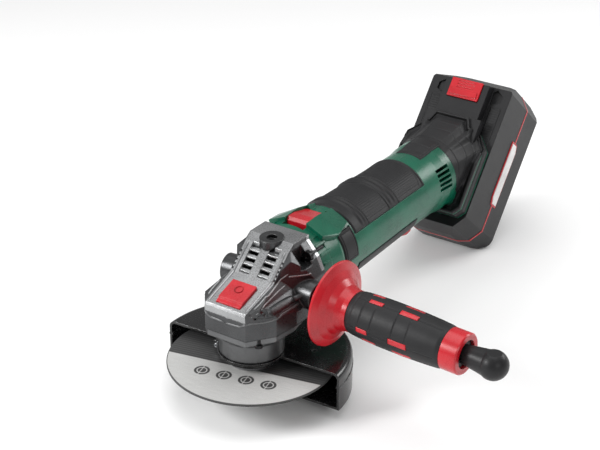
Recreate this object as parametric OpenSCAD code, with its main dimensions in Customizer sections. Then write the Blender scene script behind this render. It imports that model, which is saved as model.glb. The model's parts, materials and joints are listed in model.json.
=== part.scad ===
// Cordless angle grinder, 125 mm disc, with an auxiliary side handle and a slide-on battery.
// Origin: spindle axis, in the plane of the flange face that the disc is clamped against.
// +Y runs from the gear head to the battery, +Z is up, +X is the side of the fitted handle.

/* [Cutting disc] */
// Diameter of the disc
disc_d = 125; // [100:1:140]
// Thickness of the disc
disc_t = 1.6; // [1:0.1:3]
// Bore of the disc
disc_bore = 22.2; // [16:0.1:26]

/* [Guard] */
// Gap from the disc's edge to the inside of the guard's wall
guard_gap = 9.4; // [5:0.2:12]
// Thickness of the guard's sheet
guard_t = 1.8; // [1.2:0.1:3]
// Height of the guard's outside wall
guard_h = 30; // [24:1:34]
// Top of the guard's plate above the disc seat
guard_top_z = 9.4; // [9:0.1:11]
// How far the guard turns each way
guard_swing = 60; // [30:5:90]

/* [Gear head] */
// Radius of the round bearing cover
cover_r = 24; // [22:0.5:27]
// Seam between bearing cover and gear case, above the disc seat
seam_z = 34.5; // [32:0.5:35]
// Half width of the gear case at its widest
case_half_w = 34; // [32:0.5:38]
// Half width of the light hood strip on top
hood_half_w = 17.5; // [16:0.5:20]
// Top of the gear head, where the upper socket is
head_top_z = 88; // [87:0.5:90]
// Radius of the threaded sockets for the side handle
socket_r = 4; // [3:0.5:5]
// Depth of the threaded sockets
socket_depth = 16; // [12:1:18]
// Radius of the bosses that carry the sockets
socket_boss_r = 11; // [9:0.5:13]

/* [Drive] */
// Height of the motor axis above the disc seat
axis_z = 53.4; // [53:0.2:55]
// Teeth of the crown gear on the spindle
crown_teeth = 32; // [32:4:32]
// Teeth of the motor pinion
pinion_teeth = 8; // [8:1:8]
// Radius of the spindle where its bearings sit
spindle_r = 6; // [5:0.5:6.5]
// Radius of the spindle's threaded nose
nose_r = 7; // [6.5:0.5:7.5]
// Radius of the motor shaft
shaft_r = 4; // [3:0.5:5]
// Radius of the motor's rotor core
core_r = 18; // [15:0.5:19]

/* [Motor housing] */
// Outside radius at the front ring
ring_r = 34; // [34:0.5:36]
// Outside radius behind the front ring
barrel_front_r = 31.5; // [30:0.5:32.5]
// Outside radius at the rear of the barrel
barrel_rear_r = 29.3; // [28.5:0.1:31]
// Where the barrel starts, behind the spindle axis
barrel_y0 = 45; // [45:1:46]
// Where the vented rear of the barrel ends
barrel_y1 = 246; // [240:1:256]
// Wall of the housing
wall = 2.6; // [2:0.1:3.2]
// Thickness of the soft grip
grip_t = 2.2; // [1.5:0.1:2.4]

/* [Battery] */
// Width of the pack
pack_w = 76; // [72:1:82]
// Length of the pack at its seam
pack_l = 140; // [132:1:150]
// Depth of the pack's outer shell, from the seam
pack_outer = 33; // [28:1:38]
// Depth of the pack's inner shell, from the seam
pack_inner = 41.5; // [40:0.5:44]
// Lean of the pack's long side from upright
pack_tilt = 40; // [36:1:44]
// Travel of the pack to come off its rails
pack_travel = 66; // [60:1:70]

/* [Side handle] */
// Radius of the handle's hand-guard flange
flange_r = 32.2; // [28:0.2:36]
// Length of the handle from flange rim to collar end
handle_l = 110.6; // [100:0.2:125]
// Radius of the handle's rubber grip
grip_r = 17; // [16:0.5:19]
// Forward lean of the handle
handle_lean = 2.5; // [0:0.5:5]
// Downward lean of the handle
handle_drop = 1.2; // [0:0.2:4]
// Length of key that shows beyond the handle
key_out = 31.5; // [26:0.5:36]

/* [Hidden] */
$fn = 64;

// clearances
run_gap = 0.05;     // a shaft in its bearing or bore
slide_gap = 0.4;    // a piece that slides in a guide
joint_gap = 0.3;    // moving pieces that only pass each other
seat_gap = 0.02;    // fixed pieces laid against each other
over = 1;           // how far a cut runs past a face

// guard and disc
disc_r = disc_d / 2;
guard_in_r = disc_r + guard_gap;
guard_r = guard_in_r + guard_t;
guard_round = 5;
guard_rest = 2.8;                   // how far the guard is turned as it stands
guard_mouth_r = 26;                 // opening in the guard's lower plate, round the clamp nut
guard_front_r = 25.4;               // plate ahead of the collar
neck_r = 20;                        // neck of the bearing cover, where the guard clamps
neck_z0 = 3.6;
cover_z0 = guard_top_z + 0.4;
collar_z0 = neck_z0 + 0.2;
collar_r = neck_r + 3.4;
flange_z = 3;
nut_t = 6.4;
ear_y = 5;
nose_end_z = -disc_t - nut_t - 2;

// gear head profile, as points of Y and Z along the top
front_y = -32;
front_top_z = 56.6;
slope_break = [0.5, 66.4];
hood_t = 2.4;
head_rear_y = barrel_y0 - seat_gap;
slope_end = [20, 84];
flat_y = 26;
hood_slope = (slope_end[1] - slope_break[1]) / (slope_end[0] - slope_break[0]);
window_x = 7.8;
window_hw = 4.3;
window_y0 = 2;
window_l = 18;
slat_pitch = 4.2;
arch_w = 3.6;
arch_z = 64;
corner_x = 24.5;
corner_z = [34.5, 76];
cover_screw_r = 30.5;
cavity_r = 24.2;
case_floor_z = seam_z + seat_gap;
gear_top_z = axis_z - 4.2;
crown_r = 22.5;
crown_web_z = 45.4;
crown_z0 = 38;
button_w = 20.6;
button_y0 = -28.2;
button_y1 = -7.4;
button_press = 3;
lock_pin_y = -13.5;
lock_pin_r = 2.5;
handle_rim = [53.65, 25.6, 51.5];
handle_neck = 13;
spigot_l = 13.4;
top_rim = [0, 24.9, 102.3];
top_lean = 3.5;

// motor
rotor_y0 = 60;
rotor_y1 = 104;
can_r = 26.5;
fan_y = 36;
front_bearing_y = 27;
rear_bearing_y = 128;
pinion_bore_r = 2.5;
bearing_w = 7;
bearing_r = 11;

// barrel, as radius at a distance behind the spindle
ring_y1 = 74;
barrel_mid_y = 180;
function barrel_r(y) = y < ring_y1 ? ring_r
    : y < barrel_mid_y
        ? barrel_front_r + (barrel_rear_r - barrel_front_r) * (y - ring_y1) / (barrel_mid_y - ring_y1)
    : barrel_rear_r;
grip_sink = 1.2;                    // how deep the soft grip is let into the housing

// battery frame: local Z along the pack's long side, local Y out of its back
pack_pos = [0, 320.5, 39.5];
pack_hw = pack_w / 2;
pack_hl = pack_l / 2;
band = 1;                           // half thickness of the seam band
foot_face = -pack_inner - 0.5;      // face of the tool's foot, in the battery frame
foot_t = 14;
skin_t = 1.2;                       // soft skin over the foot
band_w = 1.3;
flare_in = 0.7;                     // where the flare starts, in from the foot's forward face
flare_l = 4.1;
tongue_w = 25.6;
tongue_neck_w = 21.6;
tongue_d = 12;
tongue_z0 = -46;
hump_y = -51;
hump_w = 20.5;
hump_z0 = 23;
blade_x = [-11, -4, 4, 11];
latch_w = 29;
latch_press = 2.5;
pack_notch = 3.4;                   // depth of the steps across the outer shell's back
label_w = 14;                       // the label's red border, on both sides of the pack
label_l = 58;
label_t = 0.5;
label_z = -4.5;
cell_pitch = 19.6;
cell_r = 9.2;
cell_rows = [-17, 5];

module at_pack() {
    translate(pack_pos) rotate([-pack_tilt, 0, 0]) children();
}
module along_y() {
    rotate([-90, 0, 0]) children();
}
module at_axis(y) {
    translate([0, y, axis_z]) along_y() children();
}
module at_handle() {
    translate(handle_rim) rotate([0, 0, -handle_lean]) rotate([0, 90 + handle_drop, 0]) children();
}
module at_top_socket() {
    translate(top_rim) rotate([top_lean, 0, 0]) children();
}
module both_sides() {
    children();
    mirror([1, 0, 0]) children();
}
// a solid of a side profile (points of Y and Z), of half width w about x = 0
module side_slab(points, w) {
    rotate([90, 0, 90]) translate([0, 0, -w]) linear_extrude(2 * w) polygon(points);
}
// a solid of a front profile (points of X and Z) between y0 and y1
module front_slab(points, y0, y1) {
    translate([0, y1, 0]) rotate([90, 0, 0]) linear_extrude(y1 - y0) polygon(points);
}
module tube(r_out, r_in, h) {
    difference() {
        cylinder(r = r_out, h = h);
        translate([0, 0, -over]) cylinder(r = r_in, h = h + 2 * over);
    }
}
// a tube about the motor axis, from y0 to y1
module axis_tube(r_out, r_in, y0, y1) {
    at_axis(y0) tube(r_out, r_in, y1 - y0);
}
// a wedge about the motor axis from angle a0 to a1, measured from +X towards +Z
module axis_wedge(a0, a1, y0, y1, r) {
    steps = 8;
    span = (a1 - a0) / steps;
    at_axis(y0) linear_extrude(y1 - y0)
        polygon(concat([[0, 0]], [for (i = [0:steps]) [r * cos(a0 + i * span),
            -r * sin(a0 + i * span)]]));
}

// ---------- gear head ----------
module head_profile(inset) {
    top = head_top_z - inset;
    front = front_y + inset;
    brk = slope_break[1] - inset;
    side_slab([
        [front, case_floor_z], [head_rear_y, case_floor_z], [head_rear_y, top],
        [flat_y + inset / 4, top], [slope_end[0] + inset / 2, slope_end[1] - inset],
        [slope_break[0] + inset / 2, brk],
        [front + 1, front_top_z - inset], [front, front_top_z - 2 - inset]
    ], case_half_w + over);
}
module head_plan(inset) {
    w = case_half_w - inset;
    translate([0, 0, case_floor_z - over]) linear_extrude(head_top_z) polygon([
        [-hood_half_w + inset / 2, front_y + inset], [hood_half_w - inset / 2, front_y + inset],
        [w - 3, -13 + inset / 2], [w, 8], [w, head_rear_y],
        [-w, head_rear_y], [-w, 8], [-w + 3, -13 + inset / 2]
    ]);
}
// cross section of the gear chamber and its narrower top
module head_front(inset) {
    w = case_half_w - inset;
    h = hood_half_w + 1.8 - inset / 2;
    front_slab([
        [-w, case_floor_z], [w, case_floor_z], [w, 46], [w - 3, 51], [h + 5, 58], [h, 66],
            [h, head_top_z],
        [-h, head_top_z], [-h, 66], [-h - 5, 58], [-w + 3, 51], [-w, 46]
    ], front_y - over, head_rear_y);
}
// the shoulders that spread from the narrow top to the round motor housing
module head_shoulders(inset) {
    w = case_half_w - inset;
    h = hood_half_w + 1 - inset / 2;
    intersection() {
        front_slab([
            [-w, case_floor_z], [w, case_floor_z], [w, 62], [w - 5.5, 74], [h + 2.5, 83],
                [h - 2, head_top_z - inset],
            [-h + 2, head_top_z - inset], [-h - 2.5, 83], [-w + 5.5, 74], [-w, 62]
        ], 8, head_rear_y);
        translate([0, 0, case_floor_z - over]) linear_extrude(head_top_z) polygon([
            [-h, 8], [h, 8], [w, 31], [w, head_rear_y], [-w, head_rear_y], [-w, 31]
        ]);
    }
}
module head_solid(inset) {
    intersection() {
        head_profile(inset);
        head_plan(inset);
        union() {
            head_front(inset);
            head_shoulders(inset);
        }
    }
}
module socket_boss() {
    translate([0, 0, -spigot_l - socket_depth - 4])
        cylinder(r = socket_boss_r, h = socket_depth + 4 - joint_gap);
}
module top_boss() {
    at_top_socket() translate([0, 0, -spigot_l - socket_depth - 3])
        cylinder(r = socket_boss_r - 2, h = socket_depth + 3 - joint_gap);
}
module socket_bore() {
    translate([0, 0, -spigot_l - joint_gap - socket_depth])
        cylinder(r = socket_r, h = socket_depth + over);
}
// the ridge-edged recess along each flank
module flank_panel() {
    translate([23, -23, 50.5]) rotate([0, 0, 56]) rotate([0, -42, 0]) translate([0, 0, -1.2])
        linear_extrude(6) polygon([[2, -3], [6, -5], [30, -4], [34, 2], [28, 4], [6, 1]]);
}
// long crease that runs from the front corner up the flank
module flank_crease() {
    for (i = [0, 1]) translate([hood_half_w + 1.6 + 2.6 * i, front_y + 3, 56 - 2.6 * i])
        rotate([-22, 0, 0])
        rotate([0, 45, 0]) translate([-0.6, 0, -0.6]) cube([1.2, 46, 1.2]);
}
module screw_corner(r, y0, len) {
    for (sx = [-1, 1], z = corner_z)
        translate([sx * corner_x, y0, z]) along_y() cylinder(r = r, h = len);
}
module gear_case() {
    color([0.23, 0.235, 0.24]) difference() {
        union() {
            head_solid(0);
            at_handle() socket_boss();
            mirror([1, 0, 0]) at_handle() socket_boss();
            top_boss();
        }
        // seat of the light hood
        hood_blank(0);
        // gear chamber, from the seam up
        translate([0, 0, case_floor_z - over])
            cylinder(r = cavity_r, h = gear_top_z + 2.4 - case_floor_z + over);
        // upper spindle bearing seat
        translate([0, 0, 50]) cylinder(r = 7 + seat_gap, h = 7.6);
        // pinion tunnel, bearing seat and fan chamber
        at_axis(4) cylinder(r = 8, h = front_bearing_y);
        at_axis(front_bearing_y - seat_gap) cylinder(r = bearing_r + seat_gap, h = bearing_w + 10);
        at_axis(front_bearing_y + bearing_w) cylinder(r = 29.5, h = 40);
        // air duct up to the hood's windows, past the upper socket's boss
        difference() {
            side_slab([[3, 63.5], [front_bearing_y + bearing_w + over, 63.5],
                [front_bearing_y + bearing_w + over, 70],
                [17, 80], [14, 79], [1, 66]], 13.5);
            top_boss();
        }
        // handle sockets
        at_handle() socket_bore();
        mirror([1, 0, 0]) at_handle() socket_bore();
        at_top_socket() socket_bore();
        // lock button well and pin hole
        translate([-button_w / 2 - slide_gap, button_y0 - slide_gap, 53])
            cube([button_w + 2 * slide_gap, button_y1 - button_y0 + 2 * slide_gap, 20]);
        translate([0, lock_pin_y, 40]) cylinder(r = lock_pin_r + slide_gap, h = 20);
        // flank panels and screw recesses
        both_sides() flank_panel();
        both_sides() flank_crease();
        screw_corner(4.2, 34, 4);
        screw_corner(1.9, 30, 20);
        for (sx = [-1, 1]) translate([sx * corner_x - 5, 22, 71]) cube([10, 12, 20]);
        // rear lightening inside the flange
        for (a = [45:90:315]) rotate([0, 0, a]) translate([cover_screw_r, 0, case_floor_z - over])
            cylinder(r = 1.6, h = 6);
    }
}
// the light strip: top skin of the head between its two rails, and the arch behind it
module hood_blank(grow) {
    w = hood_half_w + grow;
    difference() {
        head_profile(-0.01);
        head_profile(hood_t);
        difference() {
            translate([-60, front_y - over, 0]) cube([120, 100, 120]);
            translate([0, 0, 50]) linear_extrude(60) polygon([
                [-w, front_y - over], [w, front_y - over], [w + 1.3, 0], [w + 1.3, head_rear_y + over],
                [-w - 1.3, head_rear_y + over], [-w - 1.3, 0]
            ]);
        }
    }
    hood_arch(grow);
}
// the light edge that runs down both sides of the rear flange
module hood_arch(grow) {
    difference() {
        head_solid(0);
        translate([0, -arch_w - grow, 0]) head_rear_cut();
        head_inner_block(2.2 + grow);
        translate([-60, front_y - over, 0]) cube([120, 100, arch_z - grow]);
    }
}
module head_rear_cut() {
    translate([-60, front_y - 20, 0]) cube([120, head_rear_y - front_y + 20, 120]);
}
// the shoulders' own section, drawn in by a skin thickness
module head_inner_block(skin) {
    w = case_half_w - skin;
    h = hood_half_w - skin;
    front_slab([
        [-w, 0], [w, 0], [w, 62], [w - 5.5, 73], [h + 2, 83], [h - 2, head_top_z - skin],
        [-h + 2, head_top_z - skin], [-h - 2, 83], [-w + 5.5, 73], [-w, 62]
    ], 0, head_rear_y + over);
}
module hood() {
    color([0.68, 0.69, 0.70]) union() {
        hood_skin();
        // sloping louvres in the two windows
        for (sx = [-1, 1], i = [0:3]) translate([sx * window_x, 0, 0])
            hood_louvre(window_y0 + 1 + i * slat_pitch);
    }
}
// one louvre, from just under the skin in front to deeper behind
module hood_louvre(y) {
    z = slope_break[1] + (y - slope_break[0]) * hood_slope;
    side_slab([[y, z - 0.3], [y + 2.9, z + 0.4], [y + 3.1, z - 0.8], [y, z - 1.6]], window_hw + 0.2);
}
module hood_skin() {
    difference() {
        intersection() {
            head_solid(0);
            hood_blank(-seat_gap);
        }
        // button opening
        translate([-button_w / 2 - slide_gap, button_y0 - slide_gap, 50])
            cube([button_w + 2 * slide_gap, button_y1 - button_y0 + 2 * slide_gap, 30]);
        // clearance for the head screws
        screw_corner(1.9, 30, 20);
        // two long windows
        for (sx = [-1, 1]) translate([sx * window_x - window_hw, window_y0, 60])
            cube([2 * window_hw, window_l, 40]);
        // upper socket
        at_top_socket() translate([0, 0, -spigot_l - socket_depth - 4])
            cylinder(r = socket_boss_r - 2 + seat_gap, h = 30);
        // slanted notches on the rails
        for (sx = [-1, 1], i = [0:4]) translate([sx * (hood_half_w + 1.2), 3 + 2.6 * i, 68.6 + 2.35 * i])
            rotate([0, 45, 0]) cube([2, 1.4, 4], center = true);
    }
}
module bearing_cover() {
    color([0.36, 0.365, 0.37]) difference() {
        union() {
            // flange plate that follows the case
            translate([0, 0, seam_z - 5]) linear_extrude(5) polygon([
                [-hood_half_w + 1, front_y + 1], [hood_half_w - 1, front_y + 1], [case_half_w - 4, -12],
                [case_half_w - 2, 8], [case_half_w - 6, 30], [-case_half_w + 6, 30],
                [-case_half_w + 2, 8], [-case_half_w + 4, -12]
            ]);
            translate([0, 0, cover_z0]) cylinder(r = cover_r, h = seam_z - cover_z0);
            translate([0, 0, cover_z0 + 13])
                cylinder(r1 = cover_r, r2 = cover_r + 4, h = seam_z - cover_z0 - 17);
            translate([0, 0, neck_z0]) cylinder(r = neck_r, h = cover_z0 - neck_z0 + over);
        }
        // seat of the lower bearing, seal pocket and spindle way
        translate([0, 0, 15]) cylinder(r = 16 + seat_gap, h = seam_z);
        translate([0, 0, 9]) cylinder(r = 13 + seat_gap, h = 10);
        translate([0, 0, neck_z0 - over]) cylinder(r = 13.4, h = 10);
        // groove that the guard's collar turns in
        translate([0, 0, cover_z0 - 3]) rotate_extrude() translate([neck_r - 0.8, 0]) square([3, 1.2]);
        // screw holes
        for (a = [45:90:315]) rotate([0, 0, a]) translate([cover_screw_r, 0, seam_z - 6])
            cylinder(r = 1.7, h = 8);
    }
}
module cover_screws() {
    color([0.08, 0.08, 0.085]) for (a = [45:90:315]) rotate([0, 0, a])
        translate([cover_screw_r, 0, 0]) difference() {
        union() {
            translate([0, 0, seam_z - 7.4]) cylinder(r = 2.9, h = 2.4 - seat_gap);
            translate([0, 0, seam_z - 5]) cylinder(r = 1.5, h = 9);
        }
        translate([0, 0, seam_z - 8]) cylinder(r = 1.3, h = 2, $fn = 6);
    }
}
module head_screws() {
    color([0.07, 0.07, 0.075]) for (sx = [-1, 1], z = corner_z) translate([sx * corner_x, 0, z])
        difference() {
        union() {
            translate([0, 34.6, 0]) along_y() cylinder(r = 3.8, h = 3.3);
            translate([0, 37.8, 0]) along_y() cylinder(r = 1.7, h = 16);
        }
        translate([0, 33.6, 0]) along_y() cylinder(r = 1.6, h = 2.4, $fn = 6);
    }
}
module dust_seal() {
    color([0.1, 0.1, 0.1]) translate([0, 0, 9.6]) tube(13, spindle_r + 1.4, 4.6);
}
module lower_bearing() {
    color([0.75, 0.76, 0.78]) translate([0, 0, 15 + seat_gap]) tube(16, spindle_r + seat_gap, 10);
}
module retainer_plate() {
    color([0.55, 0.56, 0.58]) translate([0, 0, 25.1]) tube(15.8, 12.5, 3);
}
module upper_bearing() {
    color([0.75, 0.76, 0.78]) translate([0, 0, 51.7]) tube(7, shaft_r + seat_gap, 4.5);
}

// ---------- spindle group ----------
module spindle() {
    color([0.62, 0.63, 0.65]) union() {
        translate([0, 0, nose_end_z]) cylinder(r = nose_r, h = -nose_end_z + 8.6);
        translate([0, 0, 8.5]) cylinder(r = spindle_r + 1, h = 6.5);
        translate([0, 0, 14.9]) cylinder(r = spindle_r, h = crown_z0 + 9 - 14.9);
        translate([0, 0, crown_z0 + 8]) cylinder(r = shaft_r, h = 57 - crown_z0 - 8);
    }
}
module crown_gear() {
    tooth_in = 16.6;
    tooth_out = 21.6;
    root_z = axis_z - 6.1;
    color([0.42, 0.42, 0.43]) difference() {
        union() {
            translate([0, 0, crown_z0]) cylinder(r = 13, h = crown_web_z - crown_z0);
            translate([0, 0, 42]) cylinder(r = crown_r, h = crown_web_z - 42);
            translate([0, 0, crown_web_z - 0.1]) tube(tooth_out, tooth_in, root_z - crown_web_z + 0.1);
            intersection() {
                translate([0, 0, root_z - 0.1]) tube(tooth_out, tooth_in, gear_top_z - root_z + 0.1);
                for (i = [0:crown_teeth - 1]) rotate([0, 0, 90 + (i + 0.5) * 360 / crown_teeth])
                    translate([0, 0, root_z - 0.2]) linear_extrude(gear_top_z - root_z + 0.4)
                        polygon([[10, -0.24], [24, -1.05], [24, 1.05], [10, 0.24]]);
            }
        }
        translate([0, 0, crown_z0 - over]) cylinder(r = spindle_r + seat_gap, h = 20);
        // holes that the lock pin drops into
        for (i = [0:3]) rotate([0, 0, 90 * i]) translate([0, lock_pin_y, crown_web_z - 3.4])
            cylinder(r = lock_pin_r + slide_gap, h = 10);
    }
}
module inner_flange() {
    color([0.50, 0.50, 0.51]) difference() {
        union() {
            cylinder(r = 18, h = flange_z - 1);
            translate([0, 0, flange_z - 1.1]) cylinder(r1 = 18, r2 = 16, h = 1.1);
            translate([0, 0, flange_z - 0.1]) cylinder(r = 12.4, h = 4.4);
            translate([0, 0, -disc_t + 0.2]) cylinder(r = disc_bore / 2 - run_gap, h = disc_t);
        }
        translate([0, 0, -disc_t - over]) cylinder(r = nose_r + seat_gap, h = 20);
    }
}
module cutting_disc() {
    color([0.62, 0.62, 0.62]) translate([0, 0, -disc_t]) tube(disc_r, disc_bore / 2, disc_t - seat_gap);
}
module clamp_nut() {
    z1 = -disc_t - seat_gap;
    color([0.28, 0.28, 0.29]) difference() {
        union() {
            translate([0, 0, z1 - 2.6]) cylinder(r = 20, h = 2.6);
            translate([0, 0, z1 - nut_t]) cylinder(r = 15, h = nut_t - 1);
        }
        translate([0, 0, z1 - nut_t - over]) cylinder(r = nose_r + seat_gap, h = nut_t + 2 * over);
        for (a = [0:90:270]) rotate([0, 0, a + 45]) translate([11.5, 0, z1 - nut_t - over])
            cylinder(r = 2, h = 5.2);
    }
}

// ---------- guard ----------
// the guard's section: upper plate, rounded shoulder, wall and lower plate
module guard_section() {
    wall_z0 = guard_top_z - guard_h;
    translate([collar_r - 1.6, guard_top_z - guard_t])
        square([guard_r - guard_round - collar_r + 1.6, guard_t]);
    translate([guard_in_r, wall_z0]) square([guard_t, guard_h - guard_round]);
    translate([guard_r - guard_round, guard_top_z - guard_round]) intersection() {
        difference() {
            circle(guard_round);
            circle(guard_round - guard_t);
        }
        square(guard_round);
    }
    translate([guard_mouth_r, wall_z0]) square([guard_r - guard_mouth_r, guard_t]);
    // rolled bead along the wall
    translate([guard_in_r - 0.8, guard_top_z - guard_h * 0.4]) square([guard_t + 1.2, 1.4]);
}
module guard_shell() {
    color([0.05, 0.05, 0.055]) rotate([0, 0, guard_rest]) difference() {
        union() {
            rotate_extrude(angle = 180, $fn = 128) guard_section();
            // plate ahead of the centre line, round the collar
            translate([0, 0, guard_top_z - guard_t]) cylinder(r = guard_front_r, h = guard_t);
        }
        translate([0, 0, -over]) cylinder(r = collar_r - 1.7, h = 20);
        // hollow embossed dots on the plate
        for (a = [25, 40, 140, 155]) rotate([0, 0, a]) translate([46, 0, guard_top_z - 0.6])
            cylinder(r = 2.2, h = 2);
        for (a = [12, 168]) rotate([0, 0, a]) translate([32, 0, guard_top_z - 0.6])
            cylinder(r = 1.6, h = 2);
    }
}
module guard_collar() {
    color([0.04, 0.04, 0.045]) difference() {
        union() {
            translate([0, 0, collar_z0]) cylinder(r = collar_r - 1.7 - seat_gap, h = guard_top_z - collar_z0);
            // clamp ears
            translate([-collar_r - 7, -ear_y - 0.8, collar_z0])
                cube([10, 2 * ear_y + 1.6, guard_top_z - guard_t - collar_z0 - 0.05]);
        }
        translate([0, 0, -over]) cylinder(r = neck_r + run_gap, h = 20);
        translate([-collar_r - 8, -0.8, 0]) cube([14, 1.6, 20]);
        translate([-collar_r - 3.4, -ear_y - 2, collar_z0 + 1.6]) along_y() cylinder(r = 1.35, h = 20);
    }
}
module guard_clamp_screw() {
    color([0.5, 0.5, 0.52]) translate([-collar_r - 3.4, 0, collar_z0 + 1.6]) difference() {
        union() {
            translate([0, -ear_y - 3.2, 0]) along_y() cylinder(r = 1.9, h = 2.4 - seat_gap);
            translate([0, -ear_y - 1, 0]) along_y() cylinder(r = 1.3, h = 2 * ear_y + 2.5);
        }
        translate([0, -ear_y - 4, 0]) along_y() cylinder(r = 0.9, h = 2, $fn = 6);
    }
}

// ---------- spindle lock ----------
module lock_button() {
    w = button_w / 2;
    lip_z = 59.4;
    color([0.75, 0.04, 0.05]) difference() {
        union() {
            side_slab([[button_y0, 56.2], [button_y1, 56.2], [button_y1, 66], [button_y0 + 3.2, 60.6],
                [button_y0 + 2.8, lip_z], [button_y0, 58.2]], w);
            translate([0, lock_pin_y, crown_web_z + 0.8]) cylinder(r = lock_pin_r, h = 11);
        }
        // ring sunk in the top
        translate([0, -14.6, 63.4]) rotate([20.5, 0, 0]) translate([0, 0, -0.6]) tube(3.6, 2.6, 4);
    }
}
module lock_spring() {
    // sits round the pin, under the button
    color([0.6, 0.6, 0.62]) translate([0, lock_pin_y, 53.05]) tube(4.4, lock_pin_r + slide_gap, 3.1);
}

// ---------- motor housing ----------
module barrel_skin(grow) {
    r0 = ring_r + grow;
    r1 = barrel_front_r + grow;
    r2 = barrel_rear_r + grow;
    at_axis(0) rotate_extrude($fn = 128) polygon([
        [0, barrel_y0], [r0 - 0.6, barrel_y0], [r0, barrel_y0 + 0.8], [r0, 56], [r0 - 1.2, 58],
        [r1 + 1.6, ring_y1 - 2], [r1, ring_y1 + 3], [r2, barrel_mid_y], [r2, 226], [r2 + 1.4, 236],
        [r2 + 1.4, barrel_y1], [0, barrel_y1]
    ]);
}
module barrel_bore() {
    r1 = barrel_front_r - wall - grip_sink;
    r2 = barrel_rear_r - wall - grip_sink;
    at_axis(0) rotate_extrude() polygon([
        [0, barrel_y0 - over], [r1, barrel_y0 - over], [r1, ring_y1], [r2, barrel_mid_y],
        [r2, barrel_y1 + 12], [0, barrel_y1 + 12]
    ]);
}
// outline of the foot in the battery frame, X and Z
module foot_outline(inset) {
    w = pack_hw - 1 - inset;
    polygon([
        [-w + 5, -60 + inset], [w - 5, -60 + inset], [w, -54 + inset], [w, 0 - inset],
            [26 - inset, 13 - inset],
        [19 - inset, 14 - inset], [15 - inset, 22 - inset], [-15 + inset, 22 - inset],
            [-19 + inset, 14 - inset],
        [-26 + inset, 13 - inset], [-w, 0 - inset], [-w, -54 + inset]
    ]);
}
module foot_plate(y0, y1, inset) {
    at_pack() translate([0, y1, 0]) rotate([90, 0, 0]) linear_extrude(y1 - y0) foot_outline(inset);
}
// the foot, with its flanks thinning towards the top; front is its forward face
module foot_solid(inset, front) {
    intersection() {
        foot_plate(front, foot_face, inset);
        at_pack() union() {
            translate([-21, front - over, -70]) cube([42, foot_face - front + 2 * over, 100]);
            side_slab([[front - over, -70], [foot_face + over, -70], [foot_face + over, 16],
                [foot_face - 3 - skin_t + inset, 16], [front + 2, -14], [front - over, -14]], 60);
        }
    }
}
// the two bands of the foot that are left bare of the soft skin
module foot_bands(gap) {
    at_pack() for (y = [foot_face - band_w, foot_face - foot_t + 2.4])
        translate([-60, y - gap, -80]) cube([120, band_w + 2 * gap, 160]);
}
// the flare from the round barrel to the foot
module neck_flare(inset) {
    hull() {
        at_axis(228) cylinder(r = barrel_rear_r - inset - 0.4, h = 2, $fn = 48);
        at_pack() translate([0, foot_face - foot_t + flare_in, 0]) rotate([90, 0, 0])
            translate([0, 0, -flare_l])
            linear_extrude(flare_l) foot_outline(inset + 6);
    }
}
module vent_slots() {
    for (sx = [0, 1], i = [0:4]) mirror([sx, 0, 0])
        at_axis(223) rotate([0, 0, -4 - 8 * i]) translate([20, -1.3, 0]) cube([16, 2.6, 16.5]);
}
module front_ribs() {
    for (a = [10:12:58]) both_sides() at_axis(barrel_y0 + 2) rotate([0, 0, -a])
        translate([ring_r - 1, -1, 0]) cube([1.6, 2, 12]);
}
// raised cheeks each side of the power slider
module slider_cheeks() {
    both_sides() difference() {
        hull() {
            at_axis(56) rotate([0, 0, -66]) translate([24, -9, 0]) cube([13, 19, 1]);
            at_axis(92) rotate([0, 0, -62]) translate([24, -9, 0]) cube([9, 16, 1]);
            at_axis(70) rotate([0, 0, -60]) translate([24, -10, 0]) cube([12.6, 21, 4]);
        }
        barrel_bore();
    }
}
slider_w = 9;
slider_y0 = 58;
slider_y1 = 84;
slider_travel = 6;
trigger_y0 = 190;
trigger_y1 = 213;
trigger_w = 9;
trigger_pivot = [191.7, 27];        // Y and Z of the trigger's pins
pivot_r = 1.4;
pivot_l = 2.4;
module grip_recess_cut(a0, a1, y0, y1) {
    intersection() {
        difference() {
            barrel_skin(4);
            barrel_skin(-grip_sink);
        }
        axis_wedge(a0, a1, y0, y1, 60);
    }
}
module foot_pocket() {
    w = tongue_w + slide_gap;
    nw = tongue_neck_w + slide_gap;
    at_pack() {
        translate([-w, foot_face - 12.4, tongue_z0 - slide_gap]) cube([2 * w, 12.4 - 4.4, 120]);
        translate([-nw, foot_face - 5, tongue_z0 - slide_gap]) cube([2 * nw, 5 + over, 120]);
    }
}
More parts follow.
